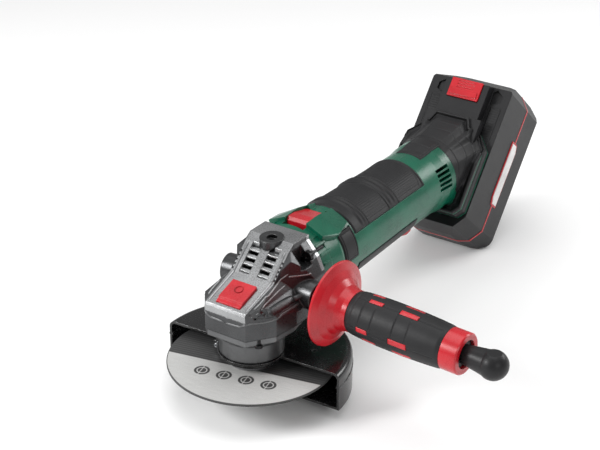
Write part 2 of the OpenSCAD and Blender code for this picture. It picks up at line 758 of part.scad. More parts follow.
module housing_body() {
    difference() {
        union() {
            difference() {
                union() {
                    barrel_skin(0);
                    neck_flare(1.6);
                    foot_solid(skin_t, foot_face - foot_t);
                    intersection() {
                        foot_solid(0, foot_face - foot_t - skin_t);
                        foot_bands(0);
                    }
                    front_ribs();
                    slider_cheeks();
                }
                barrel_bore();
                // hollow of the neck
                hull() {
                    at_axis(barrel_y1 - 6) cylinder(r = barrel_rear_r - wall - grip_sink, h = 1, $fn = 48);
                    at_pack() translate([0, foot_face - foot_t - 1, -16]) rotate([90, 0, 0])
                        cylinder(r = 17, h = 1, $fn = 48);
                }
            }
            screw_bosses();
        }
        foot_pocket();
        at_pack() translate([-16.2, foot_face - 30, -30.2]) cube([32.4, 20, 22.4]);
        vent_slots();
        // soft grip recesses
        grip_recess_cut(30, 150, 96, 202);
        grip_recess_cut(-1, 46, 75, 95);
        grip_recess_cut(134, 181, 75, 95);
        grip_recess_cut(-164, -16, 98, 188);
        // slider window, trigger window and lock to the gear head
        translate([-slider_w - slide_gap, slider_y0 - slider_travel - slide_gap, 70])
            cube([2 * (slider_w + slide_gap), slider_y1 - slider_y0 + slider_travel + 2 * slide_gap, 40]);
        translate([-trigger_w - slide_gap, trigger_y0 - slide_gap, 0])
            cube([2 * (trigger_w + slide_gap), trigger_y1 - trigger_y0 + 2 * slide_gap, 40]);
        trigger_pin(pivot_r + run_gap, trigger_w + pivot_l + joint_gap);
        screw_corner(1.75, barrel_y0 - over, 14);
        for (i = [0:4]) housing_screw_at(i) {
            translate([0, 0, -16]) cylinder(r = 1.6, h = 60);
            translate([0, 0, 22]) cylinder(r = 3.4, h = 30);
        }
    }
}
// where the five screws that close the two halves sit, as Y and Z; their heads are on the -X side
screw_places = [[141, 46], [141, 64], [191, 45], [216, 44], [246, 35]];
module housing_screw_at(i) {
    p = screw_places[i];
    translate([0, p[0], p[1]]) rotate([0, -90, 0]) children();
}
module screw_bosses() {
    intersection() {
        for (i = [0:3]) housing_screw_at(i) translate([0, 0, -34]) cylinder(r = 4.6, h = 68);
        barrel_skin(-grip_sink - 0.6);
    }
}
module half_space(side) {
    translate([side > 0 ? seat_gap / 2 : -200, -100, -100]) cube([200 - seat_gap / 2, 600, 300]);
}
module housing_left() {
    color([0.0, 0.27, 0.17]) intersection() {
        housing_body();
        half_space(-1);
    }
}
module housing_right() {
    color([0.0, 0.27, 0.17]) intersection() {
        housing_body();
        half_space(1);
    }
}
module housing_screws() {
    color([0.1, 0.1, 0.1]) for (i = [0:4]) housing_screw_at(i) difference() {
        union() {
            translate([0, 0, -14]) cylinder(r = 1.5, h = 36);
            translate([0, 0, 22.05]) cylinder(r = 3.2, h = 2.4);
        }
        translate([0, 0, 23.2]) cylinder(r = 1.3, h = 2, $fn = 6);
    }
}
// a patch of soft grip let into the barrel
module grip_patch(a0, a1, y0, y1, thick) {
    difference() {
        intersection() {
            difference() {
                barrel_skin(thick - grip_sink);
                barrel_skin(-grip_sink + seat_gap);
            }
            axis_wedge(a0, a1, y0, y1, 60);
        }
        children();
    }
}
module grip_panels() {
    color([0.10, 0.10, 0.105]) for (p = [[33, 147, 116, 145], [33, 147, 161, 199]])
        grip_patch(p[0], p[1], p[2], p[3], grip_t);
}
module grip_saddle() {
    color([0.14, 0.13, 0.135]) difference() {
        grip_patch(30.5, 149.5, 96.5, 201.5, grip_t - 0.5);
        for (p = [[32, 148, 115.5, 145.5], [32, 148, 160.5, 199.5]])
            axis_wedge(p[0], p[1], p[2], p[3], 60);
        translate([-slider_w - slide_gap, slider_y0, 70])
            cube([2 * (slider_w + slide_gap), slider_y1 - slider_y0, 40]);
    }
}
module side_pads() {
    color([0.14, 0.13, 0.14]) both_sides() grip_patch(0, 45, 76, 94.5, grip_t);
}
module underside_grip() {
    color([0.08, 0.08, 0.085]) grip_patch(-163, -17, 99, 187, grip_t - 0.4);
}
module neck_grip() {
    color([0.11, 0.11, 0.115]) difference() {
        union() {
            difference() {
                neck_flare(0);
                translate([-60, 0, 0]) cube([120, barrel_y1 + 0.4, 140]);
            }
            foot_solid(0, foot_face - foot_t - skin_t);
        }
        neck_flare(1.0);
        foot_solid(skin_t - seat_gap, foot_face - foot_t - seat_gap);
        foot_bands(seat_gap);
        foot_pocket();
        // recesses of the closing screws
        for (i = [0:4]) housing_screw_at(i) translate([0, 0, 22]) cylinder(r = 3.4, h = 30);
        barrel_skin(seat_gap);
    }
}

// ---------- controls and electrics ----------
module power_slider() {
    z0 = axis_z + can_r + 1;
    color([0.78, 0.05, 0.06]) side_slab([[slider_y0, z0], [slider_y1, z0], [slider_y1, z0 + 4.4],
        [slider_y0 + 9, z0 + 8.4], [slider_y0 + 2, z0 + 8.4], [slider_y0, z0 + 6]], slider_w);
}
module trigger_pin(r, reach) {
    translate([-reach, trigger_pivot[0], trigger_pivot[1]]) rotate([0, 90, 0])
        cylinder(r = r, h = 2 * reach);
}
module trigger() {
    color([0.76, 0.04, 0.05]) union() {
        side_slab([[trigger_y0, 25], [trigger_y0 + 3, 20.5], [trigger_y1 - 8, 17.4],
            [trigger_y1 - 2, 18.4], [trigger_y1, 22], [trigger_y1, 34], [trigger_y0 + 10, 34],
                [trigger_y0, 30]], trigger_w);
        trigger_pin(pivot_r, trigger_w + pivot_l);
    }
}
module switch_unit() {
    color([0.12, 0.12, 0.13]) union() {
        translate([-8, 150, 44]) cube([16, 30, 18]);
        translate([-3, 162, 40]) cube([6, 10, 4.1]);
    }
}
module control_board() {
    color([0.05, 0.32, 0.12]) union() {
        translate([-14, 192, 56]) cube([28, 44, 1.6]);
        for (i = [0:2]) translate([-9 + 8 * i, 200, 57.5]) cube([4, 12, 5]);
        translate([0, 222, 57.5]) cylinder(r = 4, h = 9);
    }
}
module terminal_block() {
    color([0.14, 0.14, 0.15]) at_pack() union() {
        translate([-16, foot_face - 12.6 - 10, -30]) cube([32, 10, 22]);
        for (x = blade_x) translate([x - 0.5, foot_face - 12.7, -28]) cube([1, 6, 14]);
    }
}
module motor_can() {
    color([0.4, 0.41, 0.42]) difference() {
        axis_tube(can_r, can_r - 1.8, rotor_y0 - 6, rotor_y1 + 6);
        for (a = [0:60:300]) at_axis(rotor_y0 - 3) rotate([0, 0, a]) translate([can_r - 4, -3, 0])
            cube([8, 6, 5]);
    }
}
module magnets() {
    color([0.2, 0.2, 0.21]) for (a = [-60, 120]) intersection() {
        axis_tube(can_r - 1.82, core_r + 0.8, rotor_y0 + 1, rotor_y1 - 1);
        axis_wedge(a, a + 120, rotor_y0, rotor_y1, 60);
    }
}
module front_bearing() {
    color([0.75, 0.76, 0.78])
        axis_tube(bearing_r, shaft_r + seat_gap, front_bearing_y, front_bearing_y + bearing_w);
}
module rear_bearing() {
    color([0.75, 0.76, 0.78])
        axis_tube(bearing_r - 3, shaft_r + seat_gap, rear_bearing_y, rear_bearing_y + 5);
}
module brush_holder() {
    r = barrel_front_r - wall - grip_sink - 1.6;
    color([0.13, 0.13, 0.14]) difference() {
        union() {
            axis_tube(r, bearing_r - 3 + seat_gap, rear_bearing_y, rear_bearing_y + 5);
            for (a = [0, 180]) at_axis(rotor_y1 + 10) rotate([0, 0, a]) translate([11.4, -4, 0])
                cube([12, 8, 14.1]);
        }
        for (a = [20:40:340]) at_axis(rear_bearing_y - over) rotate([0, 0, a]) translate([16, 0, 0])
            cylinder(r = 3, h = 8);
    }
}
module air_baffle() {
    color([0.16, 0.16, 0.17])
        axis_tube(barrel_front_r - wall - grip_sink - 0.2, 20, rotor_y0 - 12, rotor_y0 - 9);
}

// ---------- rotor ----------
module rotor_shaft() {
    color([0.66, 0.67, 0.69]) union() {
        at_axis(14) cylinder(r = pinion_bore_r - seat_gap, h = 12);
        at_axis(25) cylinder(r = shaft_r - seat_gap, h = rear_bearing_y + 5 - 25);
    }
}
module rotor_core() {
    color([0.45, 0.45, 0.46]) difference() {
        axis_tube(core_r, shaft_r, rotor_y0, rotor_y1);
        for (i = [0:11]) at_axis(rotor_y0 - over) rotate([0, 0, 30 * i])
            translate([core_r - 7, -1.6, 0]) cube([8, 3.2, 60]);
    }
}
module windings() {
    color([0.62, 0.28, 0.1]) for (y = [rotor_y0 - 5, rotor_y1 + seat_gap])
        axis_tube(14.5, shaft_r, y, y + 5 - seat_gap);
}
module commutator() {
    color([0.72, 0.42, 0.2]) difference() {
        axis_tube(11, shaft_r, rotor_y1 + 9, rotor_y1 + 22);
        for (i = [0:11]) at_axis(rotor_y1 + 8) rotate([0, 0, 15 + 30 * i]) translate([9.4, -0.3, 0])
            cube([3, 0.6, 16]);
    }
}
module fan() {
    color([0.1, 0.1, 0.11]) union() {
        axis_tube(7, shaft_r, fan_y, fan_y + 8);
        axis_tube(27, 6.5, fan_y + 6, fan_y + 8);
        for (i = [0:10]) at_axis(fan_y) rotate([0, 0, i * 360 / 11]) translate([12, -0.8, 0])
            rotate([0, 0, 20])
            cube([15, 1.6, 6.1]);
    }
}
module pinion() {
    tip = 5.5;
    color([0.48, 0.48, 0.49]) at_axis(16.2) difference() {
        union() {
            cylinder(r = 3.9, h = 5.8);
            for (i = [0:pinion_teeth - 1]) rotate([0, 0, 90 + i * 360 / pinion_teeth])
                linear_extrude(5.6) polygon([[3, -0.95], [tip, -0.45], [tip, 0.45], [3, 0.95]]);
        }
        translate([0, 0, -over]) cylinder(r = pinion_bore_r, h = 10);
    }
}

// ---------- battery ----------
module pack_outline(inset) {
    w = pack_hw - inset;
    l = pack_hl - inset;
    polygon([
        [-w, -l + 14], [-w + 8, -l + 3], [-w + 18, -l], [w - 18, -l], [w - 8, -l + 3], [w, -l + 14],
        [w, l - 14], [w - 9, l - 3], [w - 18, l], [-w + 18, l], [-w + 9, l - 3], [-w, l - 14]
    ]);
}
module pack_slab(y0, y1, inset) {
    translate([0, y1, -1]) rotate([90, 0, 0]) linear_extrude(y1 - y0) pack_outline(inset);
}
module pack_side(points) {
    side_slab(points, pack_hw + over);
}
module pack_inner_shell() {
    l = pack_hl - 1;
    color([0.09, 0.09, 0.095]) at_pack() difference() {
        union() {
            intersection() {
                pack_slab(-pack_inner, -band, 0);
                pack_side([[-pack_inner, -l + 1], [-pack_inner, l - 12], [-band, l + 4],
                    [-band, -l - 4]]);
            }
            // hump that carries the release button
            intersection() {
                translate([-hump_w, hump_y, hump_z0]) cube([2 * hump_w, -hump_y - pack_inner + over, 60]);
                pack_side([[hump_y, hump_z0], [-pack_inner + over, hump_z0],
                    [-pack_inner + over, l - 12], [hump_y, l - 14.5]]);
            }
            // tongue that slides in the foot
            translate([-tongue_neck_w, foot_face - 5, tongue_z0])
                cube([2 * tongue_neck_w, 6, hump_z0 - tongue_z0 + over]);
            translate([-tongue_w, foot_face - tongue_d, tongue_z0])
                cube([2 * tongue_w, tongue_d - 4.8, hump_z0 - tongue_z0]);
        }
        // hollow
        intersection() {
            pack_slab(-pack_inner + 2.4, 0, 2.4);
            pack_side([[-pack_inner + 2.4, -l + 4], [-pack_inner + 2.4, l - 15], [0, l + 1], [0, -l]]);
        }
        // button well
        translate([-latch_w / 2 - joint_gap, hump_y - over, l - 31])
            cube([latch_w + 2 * joint_gap, 9, 17.4]);
        // slots for the tool's contact blades, open at the lower end
        for (x = blade_x) translate([x - 1, foot_face - tongue_d - over, tongue_z0 - over])
            cube([2, 8, 34]);
        // finger recesses beside the hump
        both_sides() translate([hump_w + 1, -pack_inner - 0.01, l - 28]) rotate([90, 0, 0])
            mirror([0, 0, 1])
            linear_extrude(2) polygon([[0, 0], [9, 4], [9, 10], [3, 14], [0, 12]]);
    }
}
module pack_outer_shell() {
    l = pack_hl;
    d = pack_outer;
    color([0.07, 0.07, 0.075]) at_pack() difference() {
        intersection() {
            pack_slab(band, d, 0);
            pack_side([
                [band, -l - 1], [d - 12, -l], [d - 1.5, -l + 7], [d - 1.5, -l + 17],
                [d - pack_notch, -l + 21], [d - pack_notch, -l + 25], [d, -l + 29], [d - 1.5, l - 42],
                [d - pack_notch - 1, l - 37], [d - pack_notch - 1, l - 31], [d, l - 25], [d, l - 10],
                [d - 11, l - 3], [band, l]
            ]);
            // chamfered long edges
            translate([0, 0, -l - 3]) linear_extrude(2 * l + 6) polygon([
                [-pack_hw, 0], [pack_hw, 0], [pack_hw, d - 5], [pack_hw - 4, d], [-pack_hw + 4, d],
                    [-pack_hw, d - 5]
            ]);
        }
        intersection() {
            pack_slab(0, d - 2.6, 2.6);
            pack_side([
                [0, -l + 2], [d - 13, -l + 3], [d - pack_notch - 3.2, -l + 8],
                [d - pack_notch - 3.2, l - 11], [d - 13, l - 6], [0, l - 3]
            ]);
        }
        // grip grooves across the back
        for (z = [-33:8:15]) translate([-20, d - 2.2, z]) cube([40, 4, 3]);
    }
}
// a plate with cut corners on the side of the pack, drawn in by inset
module label_plate(inset, t) {
    w = label_w / 2 - inset;
    l = label_l / 2 - inset;
    rotate([90, 0, 90]) linear_extrude(t)
        polygon([[-w, -l + w], [-w + 3, -l], [w, -l], [w, l - w], [w - 3, l], [-w, l]]);
}
module pack_seam_band() {
    color([0.76, 0.03, 0.06]) at_pack() union() {
        difference() {
            pack_slab(-band + seat_gap, band - seat_gap, -0.2);
            pack_slab(-3, 3, 2.4);
        }
        both_sides() translate([pack_hw + seat_gap, 0, label_z]) label_plate(0, label_t);
    }
}
module pack_labels() {
    color([0.86, 0.85, 0.84]) both_sides() at_pack()
        translate([pack_hw + label_t + 2 * seat_gap, 0, label_z]) label_plate(1.6, label_t);
}
module battery_cells() {
    color([0.20, 0.45, 0.62]) at_pack() for (i = [-2:2], y = cell_rows)
        translate([-32.5, y, i * cell_pitch]) rotate([0, 90, 0]) cylinder(r = cell_r, h = 65);
}
module cell_frames() {
    color([0.14, 0.14, 0.15]) at_pack() for (x = [-31.5, 27.5]) difference() {
        translate([x, -27.5, -50]) cube([4, 43, 100]);
        for (i = [-2:2], y = cell_rows) translate([x - over, y, i * cell_pitch]) rotate([0, 90, 0])
            cylinder(r = cell_r + seat_gap, h = 8);
    }
}
module pack_board() {
    color([0.05, 0.30, 0.14]) at_pack() union() {
        translate([-24, -34, -40]) cube([48, 1.6, 80]);
        for (x = blade_x) translate([x - 2, -36.4, -26]) cube([4, 2.5, 10]);
    }
}
module release_button() {
    l = pack_hl - 1;
    color([0.76, 0.04, 0.05]) at_pack() difference() {
        union() {
            translate([-latch_w / 2, hump_y - 1.2, l - 30.6]) cube([latch_w, 5, 16.6]);
            translate([-latch_w / 2 + 2, hump_y - 1.9, l - 28.6]) cube([latch_w - 4, 5, 5]);
        }
        for (i = [0:2]) translate([-8, hump_y - 2.4, l - 22 + 2.6 * i]) cube([16, 1.6, 1]);
    }
}

// ---------- side handle ----------
module handle_core() {
    color([0.76, 0.04, 0.05]) at_handle() difference() {
        rotate_extrude($fn = 96) polygon([
            [0, -spigot_l], [9, -spigot_l], [9, -8], [13, -5], [20, -1.6], [flange_r - 2, -0.6],
            [flange_r, 0.6], [flange_r - 0.4, 2.2], [26, 4.4], [21, 7.6], [17.4, 11.6], [15.8, 16],
            [15.6, 19.9], [handle_neck, 20], [handle_neck, handle_l - 13.6], [15.3, handle_l - 13.5],
            [15.3, handle_l - 1], [14.4, handle_l], [0, handle_l]
        ]);
        translate([0, 0, 42]) cylinder(r = 10.5, h = handle_l);
        translate([0, 0, -spigot_l - over]) cylinder(r = socket_r + seat_gap, h = 30);
        // ribs left between pockets behind the flange
        for (a = [0:60:300]) rotate([0, 0, a + 30]) translate([14, -4, -6]) cube([9, 8, 5.4]);
    }
}
module handle_grip() {
    z0 = 20.1;
    z1 = handle_l - 13.7;
    h = z1 - z0;
    color([0.09, 0.09, 0.095]) at_handle() difference() {
        translate([0, 0, z0]) rotate_extrude($fn = 96) polygon([
            [handle_neck + seat_gap, 0], [15.2, 0], [16, 4], [grip_r, 14], [grip_r, h * 0.5],
                [grip_r - 0.6, h - 14],
            [15.6, h - 3], [15, h], [handle_neck + seat_gap, h]
        ]);
        // windows that show the red core
        for (a = [20, 140, 260], z = [z0 + 22, z0 + 46]) rotate([0, 0, a + z]) translate([10, -4, z])
            cube([10, 8, 10]);
        // lengthwise grooves
        for (a = [0:120:240]) rotate([0, 0, a]) translate([grip_r - 1, -1, z0 + 6]) cube([4, 2, h - 14]);
    }
}
module handle_stud() {
    color([0.70, 0.71, 0.73]) at_handle()
        translate([0, 0, -spigot_l - socket_depth + 0.6])
            cylinder(r = socket_r - run_gap, h = socket_depth + 14);
}
module key_knob() {
    z = handle_l + joint_gap;
    bulb_r = 10.8;
    color([0.07, 0.07, 0.075]) at_handle() difference() {
        intersection() {
            union() {
                translate([0, 0, z - 12]) cylinder(r = 10.1, h = 9.4);
                translate([0, 0, z + key_out - bulb_r]) rotate([0, 90, 0]) sphere(r = bulb_r);
                translate([0, 0, z - 3]) cylinder(r1 = 6.8, r2 = bulb_r - 0.8, h = key_out - bulb_r + 1.5);
            }
            // flattened one way
            translate([-9.4, -14, z - 12]) cube([18.8, 28, key_out + 12]);
        }
        translate([-2.1, -7.1, z - 13]) cube([4.2, 14.2, 12]);
    }
}
module key_blade() {
    z1 = handle_l - 2;
    color([0.6, 0.6, 0.62]) at_handle() union() {
        translate([-2, -7, z1 - 60]) cube([4, 14, 60]);
        for (y = [-5, 5]) translate([0, y, z1 - 56]) rotate([0, 90, 0]) cylinder(r = 1.8, h = 6.5);
    }
}

gear_case();
hood();
bearing_cover();
cover_screws();
head_screws();
dust_seal();
lower_bearing();
upper_bearing();
retainer_plate();
spindle();
crown_gear();
inner_flange();
cutting_disc();
clamp_nut();
guard_shell();
guard_collar();
guard_clamp_screw();
lock_button();
lock_spring();
housing_left();
housing_right();
housing_screws();
grip_panels();
grip_saddle();
side_pads();
underside_grip();
neck_grip();
power_slider();
trigger();
switch_unit();
control_board();
terminal_block();
motor_can();
magnets();
front_bearing();
rear_bearing();
brush_holder();
air_baffle();
rotor_shaft();
rotor_core();
windings();
commutator();
fan();
pinion();
pack_inner_shell();
pack_outer_shell();
pack_seam_band();
pack_labels();
battery_cells();
cell_frames();
pack_board();
release_button();
handle_core();
handle_grip();
handle_stud();
key_knob();
key_blade();
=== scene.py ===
import bpy
import bmesh
import json
import math
import numpy as np
from mathutils import Matrix, Vector
from mathutils.bvhtree import BVHTree


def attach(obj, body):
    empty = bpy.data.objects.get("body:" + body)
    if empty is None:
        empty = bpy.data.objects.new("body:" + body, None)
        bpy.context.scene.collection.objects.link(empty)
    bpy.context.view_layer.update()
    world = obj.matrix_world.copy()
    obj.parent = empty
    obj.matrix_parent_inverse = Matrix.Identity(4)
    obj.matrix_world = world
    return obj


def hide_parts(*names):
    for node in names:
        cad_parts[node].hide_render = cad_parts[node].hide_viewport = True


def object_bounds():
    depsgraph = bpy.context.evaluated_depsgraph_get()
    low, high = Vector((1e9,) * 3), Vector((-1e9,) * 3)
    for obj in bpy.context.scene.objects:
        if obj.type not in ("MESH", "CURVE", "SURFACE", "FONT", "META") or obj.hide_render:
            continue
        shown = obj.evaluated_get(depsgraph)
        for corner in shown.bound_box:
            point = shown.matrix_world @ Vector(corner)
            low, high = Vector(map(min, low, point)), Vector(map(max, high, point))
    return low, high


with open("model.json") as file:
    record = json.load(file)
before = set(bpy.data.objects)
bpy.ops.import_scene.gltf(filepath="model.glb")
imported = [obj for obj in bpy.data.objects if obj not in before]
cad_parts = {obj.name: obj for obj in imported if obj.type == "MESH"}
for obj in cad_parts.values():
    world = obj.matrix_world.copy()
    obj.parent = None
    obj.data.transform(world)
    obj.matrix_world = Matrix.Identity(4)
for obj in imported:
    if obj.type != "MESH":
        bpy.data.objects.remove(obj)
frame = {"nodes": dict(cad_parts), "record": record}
nodes = frame["nodes"]
cadBox = [[float(c) for c in corner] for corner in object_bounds()]
print("stage: frame loaded,", len(nodes), "nodes")


view = {
    "azimuth": 33.785,      # degrees the camera stands round from the front, towards the handle
    "elevation": 27.068,
    "roll": 0.384,
    "place": (0.57987, -0.79816, 0.60702),
    "lens": 94.588,
    "shift": (-0.0082, 0.0126),
}


def makeCamera(look):
    yaw, lift, roll = (math.radians(look[k]) for k in ("azimuth", "elevation", "roll"))
    forward = Vector((-math.sin(yaw) * math.cos(lift), math.cos(yaw) * math.cos(lift), -math.sin(lift)))
    level = Vector((math.cos(yaw), math.sin(yaw), 0))
    above = level.cross(forward)
    side = level * math.cos(roll) + above * math.sin(roll)
    top = above * math.cos(roll) - level * math.sin(roll)
    camera = bpy.data.objects.new("camera", bpy.data.cameras.new("camera"))
    bpy.context.scene.collection.objects.link(camera)
    turn = Matrix((side, top, -forward)).transposed().to_4x4()
    camera.matrix_world = Matrix.Translation(look["place"]) @ turn
    camera.data.lens = look["lens"]
    camera.data.sensor_width = 36
    camera.data.shift_x, camera.data.shift_y = look["shift"]
    camera.data.clip_end = 20
    bpy.context.scene.camera = camera
    return camera


makeCamera(view)


class Wire:
    # an output socket that can be used in sums: each operator adds one Math node
    def __init__(self, made, socket):
        self.made, self.socket = made, socket

    def sum(self, operation, *others):
        return self.made.add("ShaderNodeMath", {"operation": operation},
                             dict(enumerate((self,) + others)))

    def __add__(self, other):
        return self.sum("ADD", other)

    def __radd__(self, other):
        return self.sum("ADD", other)

    def __sub__(self, other):
        return self.sum("SUBTRACT", other)

    def __rsub__(self, other):
        return self.made.add("ShaderNodeMath", {"operation": "SUBTRACT"}, {0: other, 1: self})

    def __mul__(self, other):
        return self.sum("MULTIPLY", other)

    def __rmul__(self, other):
        return self.sum("MULTIPLY", other)

    def __truediv__(self, other):
        return self.sum("DIVIDE", other)

    def __pow__(self, other):
        return self.sum("POWER", other)

    def clamp(self):
        return self.made.add("ShaderNodeClamp", {}, {"Value": self})

    def ramp(self, low, high, out=(0.0, 1.0)):
        # straight line from low..high to out, held at both ends
        return self.made.add("ShaderNodeMapRange", {"clamp": True},
                             {"Value": self, "From Min": low, "From Max": high,
                              "To Min": out[0], "To Max": out[1]})


class Finish:
    # one material and the nodes in it
    def __init__(self, name):
        self.material = bpy.data.materials.new(name)
        self.material.use_nodes = True
        self.tree = self.material.node_tree
        self.shader = self.tree.nodes["Principled BSDF"]
        self.coords = self.add("ShaderNodeTexCoord", {}, {}, "Object")

    def add(self, kind, settings, inputs, output=0):
        node = self.tree.nodes.new(kind)
        for key, value in settings.items():
            if key == "stops":
                self.setStops(node.color_ramp, value)
            else:
                setattr(node, key, value)
        for key, value in inputs.items():
            self.feed(node.inputs[key], value)
        return Wire(self, node.outputs[output])

    def setStops(self, ramp, stops):
        while len(ramp.elements) < len(stops):
            ramp.elements.new(1.0)
        for element, (place, colour) in zip(ramp.elements, stops):
            element.position, element.color = place, tuple(colour) + (1.0,) * (4 - len(colour))

    def feed(self, socket, value):
        if isinstance(value, Wire):
            self.tree.links.new(value.socket, socket)
        elif isinstance(value, (tuple, list)) and socket.type == "RGBA" and len(value) == 3:
            socket.default_value = tuple(value) + (1.0,)
        else:
            socket.default_value = value

    def noise(self, scale, detail=3.0, roughness=0.55, where=None):
        return self.add("ShaderNodeTexNoise", {}, {"Vector": where or self.coords, "Scale": scale,
                                                    "Detail": detail, "Roughness": roughness})

    def cells(self, scale, feature="F1", where=None, output="Distance"):
        return self.add("ShaderNodeTexVoronoi", {"feature": feature},
                        {"Vector": where or self.coords, "Scale": scale}, output)

    def mix(self, amount, first, second, kind="MIX"):
        node = self.tree.nodes.new("ShaderNodeMix")
        node.data_type, node.blend_type = "RGBA", kind
        self.feed(node.inputs[0], amount)
        self.feed(node.inputs[6], first)
        self.feed(node.inputs[7], second)
        return Wire(self, node.outputs[2])

    def vector(self, operation, *inputs, output=0):
        return self.add("ShaderNodeVectorMath", {"operation": operation}, dict(enumerate(inputs)), output)

    def axes(self, where=None):
        node = self.tree.nodes.new("ShaderNodeSeparateXYZ")
        self.feed(node.inputs[0], where or self.coords)
        return [Wire(self, s) for s in node.outputs]

    def rounded(self, radius, samples=4):
        return self.add("ShaderNodeBevel", {"samples": samples}, {"Radius": radius})

    def edges(self, soft):
        # how far the rounded normal leans away from the flat one: 0 on a face, up to 1 on an edge
        flat = self.add("ShaderNodeNewGeometry", {}, {}, "Normal")
        return (1.0 - self.vector("DOT_PRODUCT", soft, flat, output="Value")).ramp(0.02, 0.22)

    def bump(self, height, depth, soft=None, strength=1.0):
        inputs = {"Height": height, "Distance": depth, "Strength": strength}
        if soft is not None:
            inputs["Normal"] = soft
        return self.add("ShaderNodeBump", {}, inputs)

    def done(self, **sockets):
        for key, value in sockets.items():
            self.feed(self.shader.inputs[socketNames[key]], value)
        return self.material


socketNames = {"colour": "Base Color", "roughness": "Roughness", "metallic": "Metallic",
               "coat": "Coat Weight", "coatRoughness": "Coat Roughness", "normal": "Normal",
               "specular": "Specular IOR Level", "ior": "IOR", "sheen": "Sheen Weight",
               "alpha": "Alpha", "transmission": "Transmission Weight"}


mouldings = {
    # colour, roughness, grain size and depth in mm, edge radius in mm, clear coat
    "red_plastic": {"colour": (0.46, 0.006, 0.014), "roughness": 0.30, "grain": 0.5, "depth": 0.010,
                    "edge": 0.8,
                    "coat": 0.20, "specular": 0.40},
    "green_plastic": {"colour": (0.001, 0.092, 0.050), "roughness": 0.30, "grain": 0.45, "depth": 0.014,
                      "edge": 0.9,
                      "coat": 0.15, "specular": 0.35},
    "black_plastic": {"colour": (0.009, 0.009, 0.010), "roughness": 0.44, "grain": 0.6, "depth": 0.030,
                      "edge": 1.0,
                      "coat": 0.04, "specular": 0.30},
    "soft_black": {"colour": (0.012, 0.012, 0.013), "roughness": 0.50, "grain": 0.7, "depth": 0.040,
                   "edge": 0.7,
                   "coat": 0.0, "specular": 0.30},
    "black_rubber": {"colour": (0.01, 0.01, 0.01), "roughness": 0.7, "grain": 0.6, "depth": 0.02,
                     "edge": 0.5,
                     "coat": 0.0, "specular": 0.3},
    "white_label": {"colour": (0.66, 0.65, 0.64), "roughness": 0.34, "grain": 0.8, "depth": 0.004,
                    "edge": 0.2,
                    "coat": 0.2, "specular": 0.4},
    "circuit_board": {"colour": (0.02, 0.14, 0.05), "roughness": 0.35, "grain": 1.2, "depth": 0.02,
                      "edge": 0.2,
                      "coat": 0.5, "specular": 0.4},
    "cell_wrap": {"colour": (0.08, 0.24, 0.38), "roughness": 0.3, "grain": 2.0, "depth": 0.02, "edge": 0.4,
                  "coat": 0.4, "specular": 0.4},
}
metals = {
    # colour, roughness, how metallic, grain size and depth in mm, edge radius, how bright the worn edge is
    "graphite_casting": {"colour": (0.070, 0.071, 0.073), "roughness": 0.30, "metallic": 0.85, "grain": 0.9,
                         "depth": 0.030, "edge": 1.4, "wear": 0.16},
    "grey_casting": {"colour": (0.14, 0.142, 0.145), "roughness": 0.36, "metallic": 0.8, "grain": 0.9,
                     "depth": 0.030, "edge": 1.2, "wear": 0.30},
    "silver_hood": {"colour": (0.34, 0.345, 0.35), "roughness": 0.28, "metallic": 0.85, "grain": 0.6,
                    "depth": 0.008, "edge": 0.8, "wear": 0.42},
    "black_screws": {"colour": (0.015, 0.015, 0.016), "roughness": 0.32, "metallic": 0.7, "grain": 0.5,
                     "depth": 0.01, "edge": 0.4, "wear": 0.25},
    "bearing_steel": {"colour": (0.62, 0.63, 0.65), "roughness": 0.18, "metallic": 1.0, "grain": 1.5,
                      "depth": 0.005, "edge": 0.4, "wear": 0.8},
    "steel": {"colour": (0.50, 0.51, 0.53), "roughness": 0.28, "metallic": 1.0, "grain": 0.6,
              "depth": 0.012, "edge": 0.4, "wear": 0.75},
    "gear_steel": {"colour": (0.30, 0.30, 0.31), "roughness": 0.34, "metallic": 1.0, "grain": 0.6,
                   "depth": 0.012, "edge": 0.4, "wear": 0.6},
    "dark_nut": {"colour": (0.04, 0.04, 0.043), "roughness": 0.34, "metallic": 0.8, "grain": 0.7,
                 "depth": 0.012, "edge": 0.6, "wear": 0.3},
    "black_guard": {"colour": (0.006, 0.006, 0.0065), "roughness": 0.22, "metallic": 0.0, "grain": 1.6,
                    "depth": 0.020, "edge": 0.6, "wear": 0.34},
    "motor_steel": {"colour": (0.26, 0.26, 0.27), "roughness": 0.38, "metallic": 1.0, "grain": 0.8,
                    "depth": 0.01, "edge": 0.4, "wear": 0.5},
    "magnet": {"colour": (0.07, 0.07, 0.075), "roughness": 0.5, "metallic": 0.3, "grain": 0.8,
               "depth": 0.02, "edge": 0.4, "wear": 0.2},
    "copper": {"colour": (0.62, 0.27, 0.12), "roughness": 0.30, "metallic": 1.0, "grain": 0.8,
               "depth": 0.02, "edge": 0.4, "wear": 0.8},
}


def mouldedPlastic(name, look):
    made = Finish(name)
    soft = made.rounded(look["edge"] / 1000)
    spark = made.noise(1000 / look["grain"], 2.0)
    cloud = made.noise(38.0, 4.0)
    worn = made.edges(soft)
    dark = tuple(c * 0.80 for c in look["colour"])
    light = tuple(min(1.0, c * 1.25 + 0.001) for c in look["colour"])
    edgeColour = tuple(min(1.0, c * 1.5 + 0.008) for c in look["colour"])
    colour = made.mix(cloud.ramp(0.3, 0.7), dark, light)
    colour = made.mix(worn * 0.55, colour, edgeColour)
    roughness = spark.ramp(0.35, 0.65, (look["roughness"] - 0.05, look["roughness"] + 0.06)) \
        + (cloud - 0.5) * 0.16 - worn * 0.08
    return made.done(colour=colour, roughness=roughness, coat=look["coat"], coatRoughness=0.22,
                     normal=made.bump(spark, look["depth"] / 1000, soft), specular=look["specular"])


